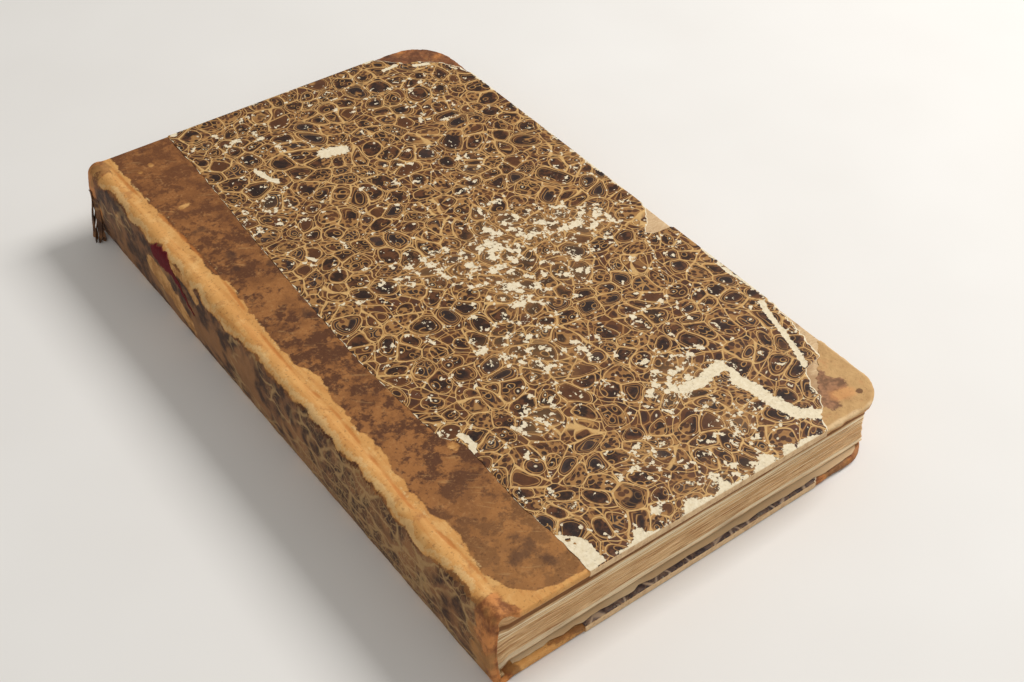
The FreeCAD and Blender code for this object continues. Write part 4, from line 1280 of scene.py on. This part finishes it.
def pasted_leaf(side):
    """The endpaper half pasted inside a board, with the edges of the turn-ins showing under it."""
    low, high = LEAF_MARGIN, BOARD_HEIGHT - LEAF_MARGIN
    u = spaced((1.25, 4, 0.5), (4, 108, 2.0), (108, LEAF_END, 0.9))[:, None]
    v = spaced((low, 14, 0.9), (14, 202, 2.0), (202, high, 0.9))[None, :]
    ragged_u = 0.18 * rough(161, 9, v) * soft_step(u, 100, 119)
    ragged_v = 0.18 * rough(162, 9, u) * soft_step(np.abs(v - BOARD_HEIGHT / 2), 98, 105)
    uu, vv = u + ragged_u, v + ragged_v
    if side == "back":
        vv = vv - (1.4 + 0.007 * u) * (1 - soft_step(v, 3, 14))
    for end, corner_v, inward in (("tail", low, 1), ("head", high, -1)):
        radius = CORNER_RADIUS[end] - SQUARE
        a = np.clip(1 - (LEAF_END - uu) / radius, 0, 1)
        b = np.clip(1 - inward * (vv - corner_v) / radius, 0, 1)
        pull = 1 - np.maximum(a, b) / np.maximum(np.hypot(a, b), 1e-6)
        pull = radius * pull * (a > 0) * (b > 0)
        uu = uu - a * pull
        vv = vv + inward * b * pull
    near = np.minimum(np.minimum(vv, BOARD_HEIGHT - vv), COVER_REACH - uu)
    ridge = 0.06 * (1 - soft_step(near, 10.4, 11.6))
    relief = ridge + 0.02 * rough(163, 22, uu, vv) - 0.05
    depth = PASTEDOWN_FACE + np.clip(relief, -0.12, 0.04)
    x, z = on_cover(side, uu, depth)
    outer = np.stack([x, vv + TAIL_Y[side], z], -1)
    inset = np.minimum(near, uu + 2)
    edge = 1 - soft_step(inset + 3 * rough(164, 30, uu, vv), 0, 16)
    make_skin(
        side + "_pasted_leaf", outer, 0.14, side + "_cover", ENDPAPER, {"edge": edge},
        step=2, flip=side == "back", replaces=[side + "_pastedown"],
    )


def endpaper_hinge(side):
    """The endpaper's fold in the joint, between pages and board. Shut, it is folded into the gap."""
    t = np.linspace(0, 1, 26)[:, None]
    y = np.linspace(-HALF_PAGES + 0.5, HALF_PAGES - 0.5, 70)[None, :]
    x = PAGE_JOINT_X + 0.02 + t * 0.42 + 0 * y
    on_pages = page_top(x) if side == "front" else PAGE_INSET + 0 * x
    _, on_board = on_cover(side, x - HINGE_X, PASTEDOWN_FACE + 0 * x)
    z = on_pages + (on_board - on_pages) * (0.12 + 0.72 * soft_step(t, 0.1, 0.9))
    outer = np.stack([x, y + 0 * x, z], -1)
    piece = make_skin(
        side + "_endpaper_fold", outer, 0.05, None, ENDPAPER, {"edge": 0.5},
        flip=side == "back",
    )
    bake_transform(piece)


# Small pieces of the back.


def endband(end):
    """A cord wound with thread: a tube along the back's section, rippled by the turns of thread."""
    s = np.linspace(-HALF_BACK, -HOLLOW_LENGTH - 0.2, 150)
    x, z, nx, nz = back_section(s)
    inset = PAGES_UNDER_LEATHER + 0.85
    half = np.stack([x + nx * inset, z + nz * inset, nx, nz], -1)
    lower = half[1:][::-1] * np.array([1, -1, 1, -1]) + np.array([0, SECTION_HEIGHT, 0, 0])
    path = np.concatenate([lower, half])
    turn = np.linspace(0, 2 * math.pi, 14, endpoint=False)[None, :]
    place = np.arange(len(path))[:, None]
    radius = 0.80 + 0.07 * np.abs(np.sin(place * 0.9 + turn * 0.5))
    radius = radius * np.sqrt(np.clip(np.minimum(place, len(path) - 1 - place) / 3, 0.02, 1))
    out = np.cos(turn) * radius
    side = HALF_PAGES + 0.87 + np.sin(turn) * radius
    y = side if end == "head" else -side
    across, up = (path[:, [axis]] + path[:, [axis + 2]] * out for axis in (0, 1))
    rings = np.stack([across, y, up], -1)
    make_rings(
        end + "_wound_band", rings, end == "head", "text_block", THREAD, [end + "_endband"]
    )


def label_scrap():
    """The label's remnant on the round of the spine: a torn patch that trails off down the spine."""
    y = spaced((37.0, 63.4, 0.3))[None, :]
    f = np.linspace(-1, 1, 22)[:, None]
    middle = through(
        y, (36, -15.4), (40.5, -13.0), (46, -9.6), (50, -8.3), (53, -7.3), (58, -7.2), (63.5, -7.4)
    )
    half = through(
        y, (36, 0.15), (40.5, 0.45), (46, 0.85), (50.5, 0.9), (52.5, 2.3), (57, 2.75), (61, 2.3),
        (63.5, 0.5),
    )
    half = half * (1 + 0.1 * rough(171, 4.5, y)) + 0.05
    s = middle + 0.25 * rough(172, 3.0, y) + f * half
    x, z, nx, nz = back_section(s)
    proud = 0.19 + 0.03 * rough(173, 3, s, y) * (1 - np.abs(f))
    outer = np.stack([x - nx * proud, y + 0 * s, z - nz * proud], -1)
    make_skin(
        "red_label_scrap", outer, 0.17, "text_block", RED_LABEL,
        {"edge": soft_step(np.abs(f), 0.5, 1.0)}, replaces=["spine_label"],
    )


def tatter():
    """Torn shreds of leather that hang off the spine near its head and rest on what the book lies on."""
    rng = np.random.default_rng(9)
    t = np.linspace(0, 1, 40)[:, None]
    f = np.linspace(-1, 1, 5)[None, :]
    points, faces, count = [], [], 0
    for number in range(9):
        start, top = rng.uniform(101.6, 106.8), rng.uniform(8, 19)
        breadth, spread = rng.uniform(0.3, 1.1), rng.uniform(0.8, 2.5)
        width = breadth * (1 - 0.7 * t) + 0.3 * swell(t, 0.85, 0.1) * breadth
        curl = 0.25 * np.sin(t * 7 + number) + 0.5 * f * np.sin(t * 4 + number)
        x = SPINE_X + 0.2 - spread * soft_step(t, 0, 0.95) + curl
        y = start + 1.0 * t + 0.5 * np.sin(t * 5 + number) + f * width
        z = top * (1 - soft_step(t, -0.1, 0.95)) + 0.35 + 0.25 * f * np.sin(t * 9)
        outer = np.stack([x + 0 * y, y, np.maximum(z, 0.3 + 0.1 * t)], -1)
        strip, strip_faces, _ = shell(outer, 0.2)
        points.append(strip)
        faces += [[count + corner for corner in face] for face in strip_faces]
        count += len(strip)
    marks = dict.fromkeys(LEATHER_MARKS, np.zeros(count))
    marks["spine"] = np.full(count, 0.7)
    make_piece(
        "leather_tatter", np.concatenate(points), faces, "text_block", [CALF], marks=marks,
    )


pages()
for cover in ("front", "back"):
    leather_half(cover)
    pasteboard(cover)
    for corner in ("tail", "head"):
        leather_corner(cover, corner)
    pasted_leaf(cover)
    endpaper_hinge(cover)
marbled_side("front", torn_right)
marbled_side("back", mitred_right)
for band_end in ("head", "tail"):
    endband(band_end)
label_scrap()
tatter()

for node, look in (
    ("spine_lining", LINING), ("sewing_cords", HEMP), ("front_cord_slips", HEMP), ("back_cord_slips", HEMP)
):
    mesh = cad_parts[node].data
    mesh.materials.clear()
    mesh.materials.append(look)


# The stage: a pale floor, soft light from the right and behind, and the photograph's camera.


def floor():
    """A flat pale floor, far wider than the view."""
    look = Look("pale_floor", roughness=0.9, gloss=0.1)
    tone = look.noise(60.0, detail=2.0)
    look.colour = look.mix(tone, rgb(226, 222, 216), rgb(234, 231, 226))
    mesh = bpy.data.meshes.new("floor")
    reach = 3.0
    corners = [(-reach, -reach, 0), (reach, -reach, 0), (reach, reach, 0), (-reach, reach, 0)]
    mesh.from_pydata(corners, [], [(0, 1, 2, 3)])
    mesh.materials.append(look.finish())
    plane = bpy.data.objects.new("floor", mesh)
    bpy.context.scene.collection.objects.link(plane)


def softbox(name, place, size, watts):
    """A square lamp that faces the middle of the book."""
    lamp = bpy.data.lights.new(name, "AREA")
    lamp.shape = "SQUARE"
    lamp.size = size
    lamp.energy = watts
    holder = bpy.data.objects.new(name, lamp)
    holder.location = place
    holder.rotation_euler = (Vector((0, 0, 0.01)) - Vector(place)).to_track_quat("-Z", "Y").to_euler()
    bpy.context.scene.collection.objects.link(holder)


floor()
softbox("key", (0.80, -0.12, 0.85), 0.45, 11.5)
softbox("fill", (-0.7, -0.9, 0.9), 0.9, 3.5)

scene = bpy.context.scene
world = bpy.data.worlds.new("studio")
world.use_nodes = True
world.node_tree.nodes["Background"].inputs["Color"].default_value = (1.0, 0.985, 0.96, 1.0)
world.node_tree.nodes["Background"].inputs["Strength"].default_value = 0.36
scene.world = world
scene.view_settings.view_transform = "Standard"

EYE = Vector((-0.17585, -0.27383, 0.30116))
FORWARD = Vector((0.42549, 0.59235, -0.68416))
RIGHT = Vector((0.80556, -0.59239, -0.01191))
camera_data = bpy.data.cameras.new("camera")
camera_data.sensor_width = 36.0
camera_data.sensor_fit = "HORIZONTAL"
camera_data.lens = 52.48
camera_data.clip_start = 0.01
camera = bpy.data.objects.new("camera", camera_data)
scene.collection.objects.link(camera)
up = RIGHT.cross(FORWARD)
camera.matrix_world = Matrix.Translation(EYE) @ Matrix((RIGHT, up, -FORWARD)).transposed().to_4x4()
scene.camera = camera
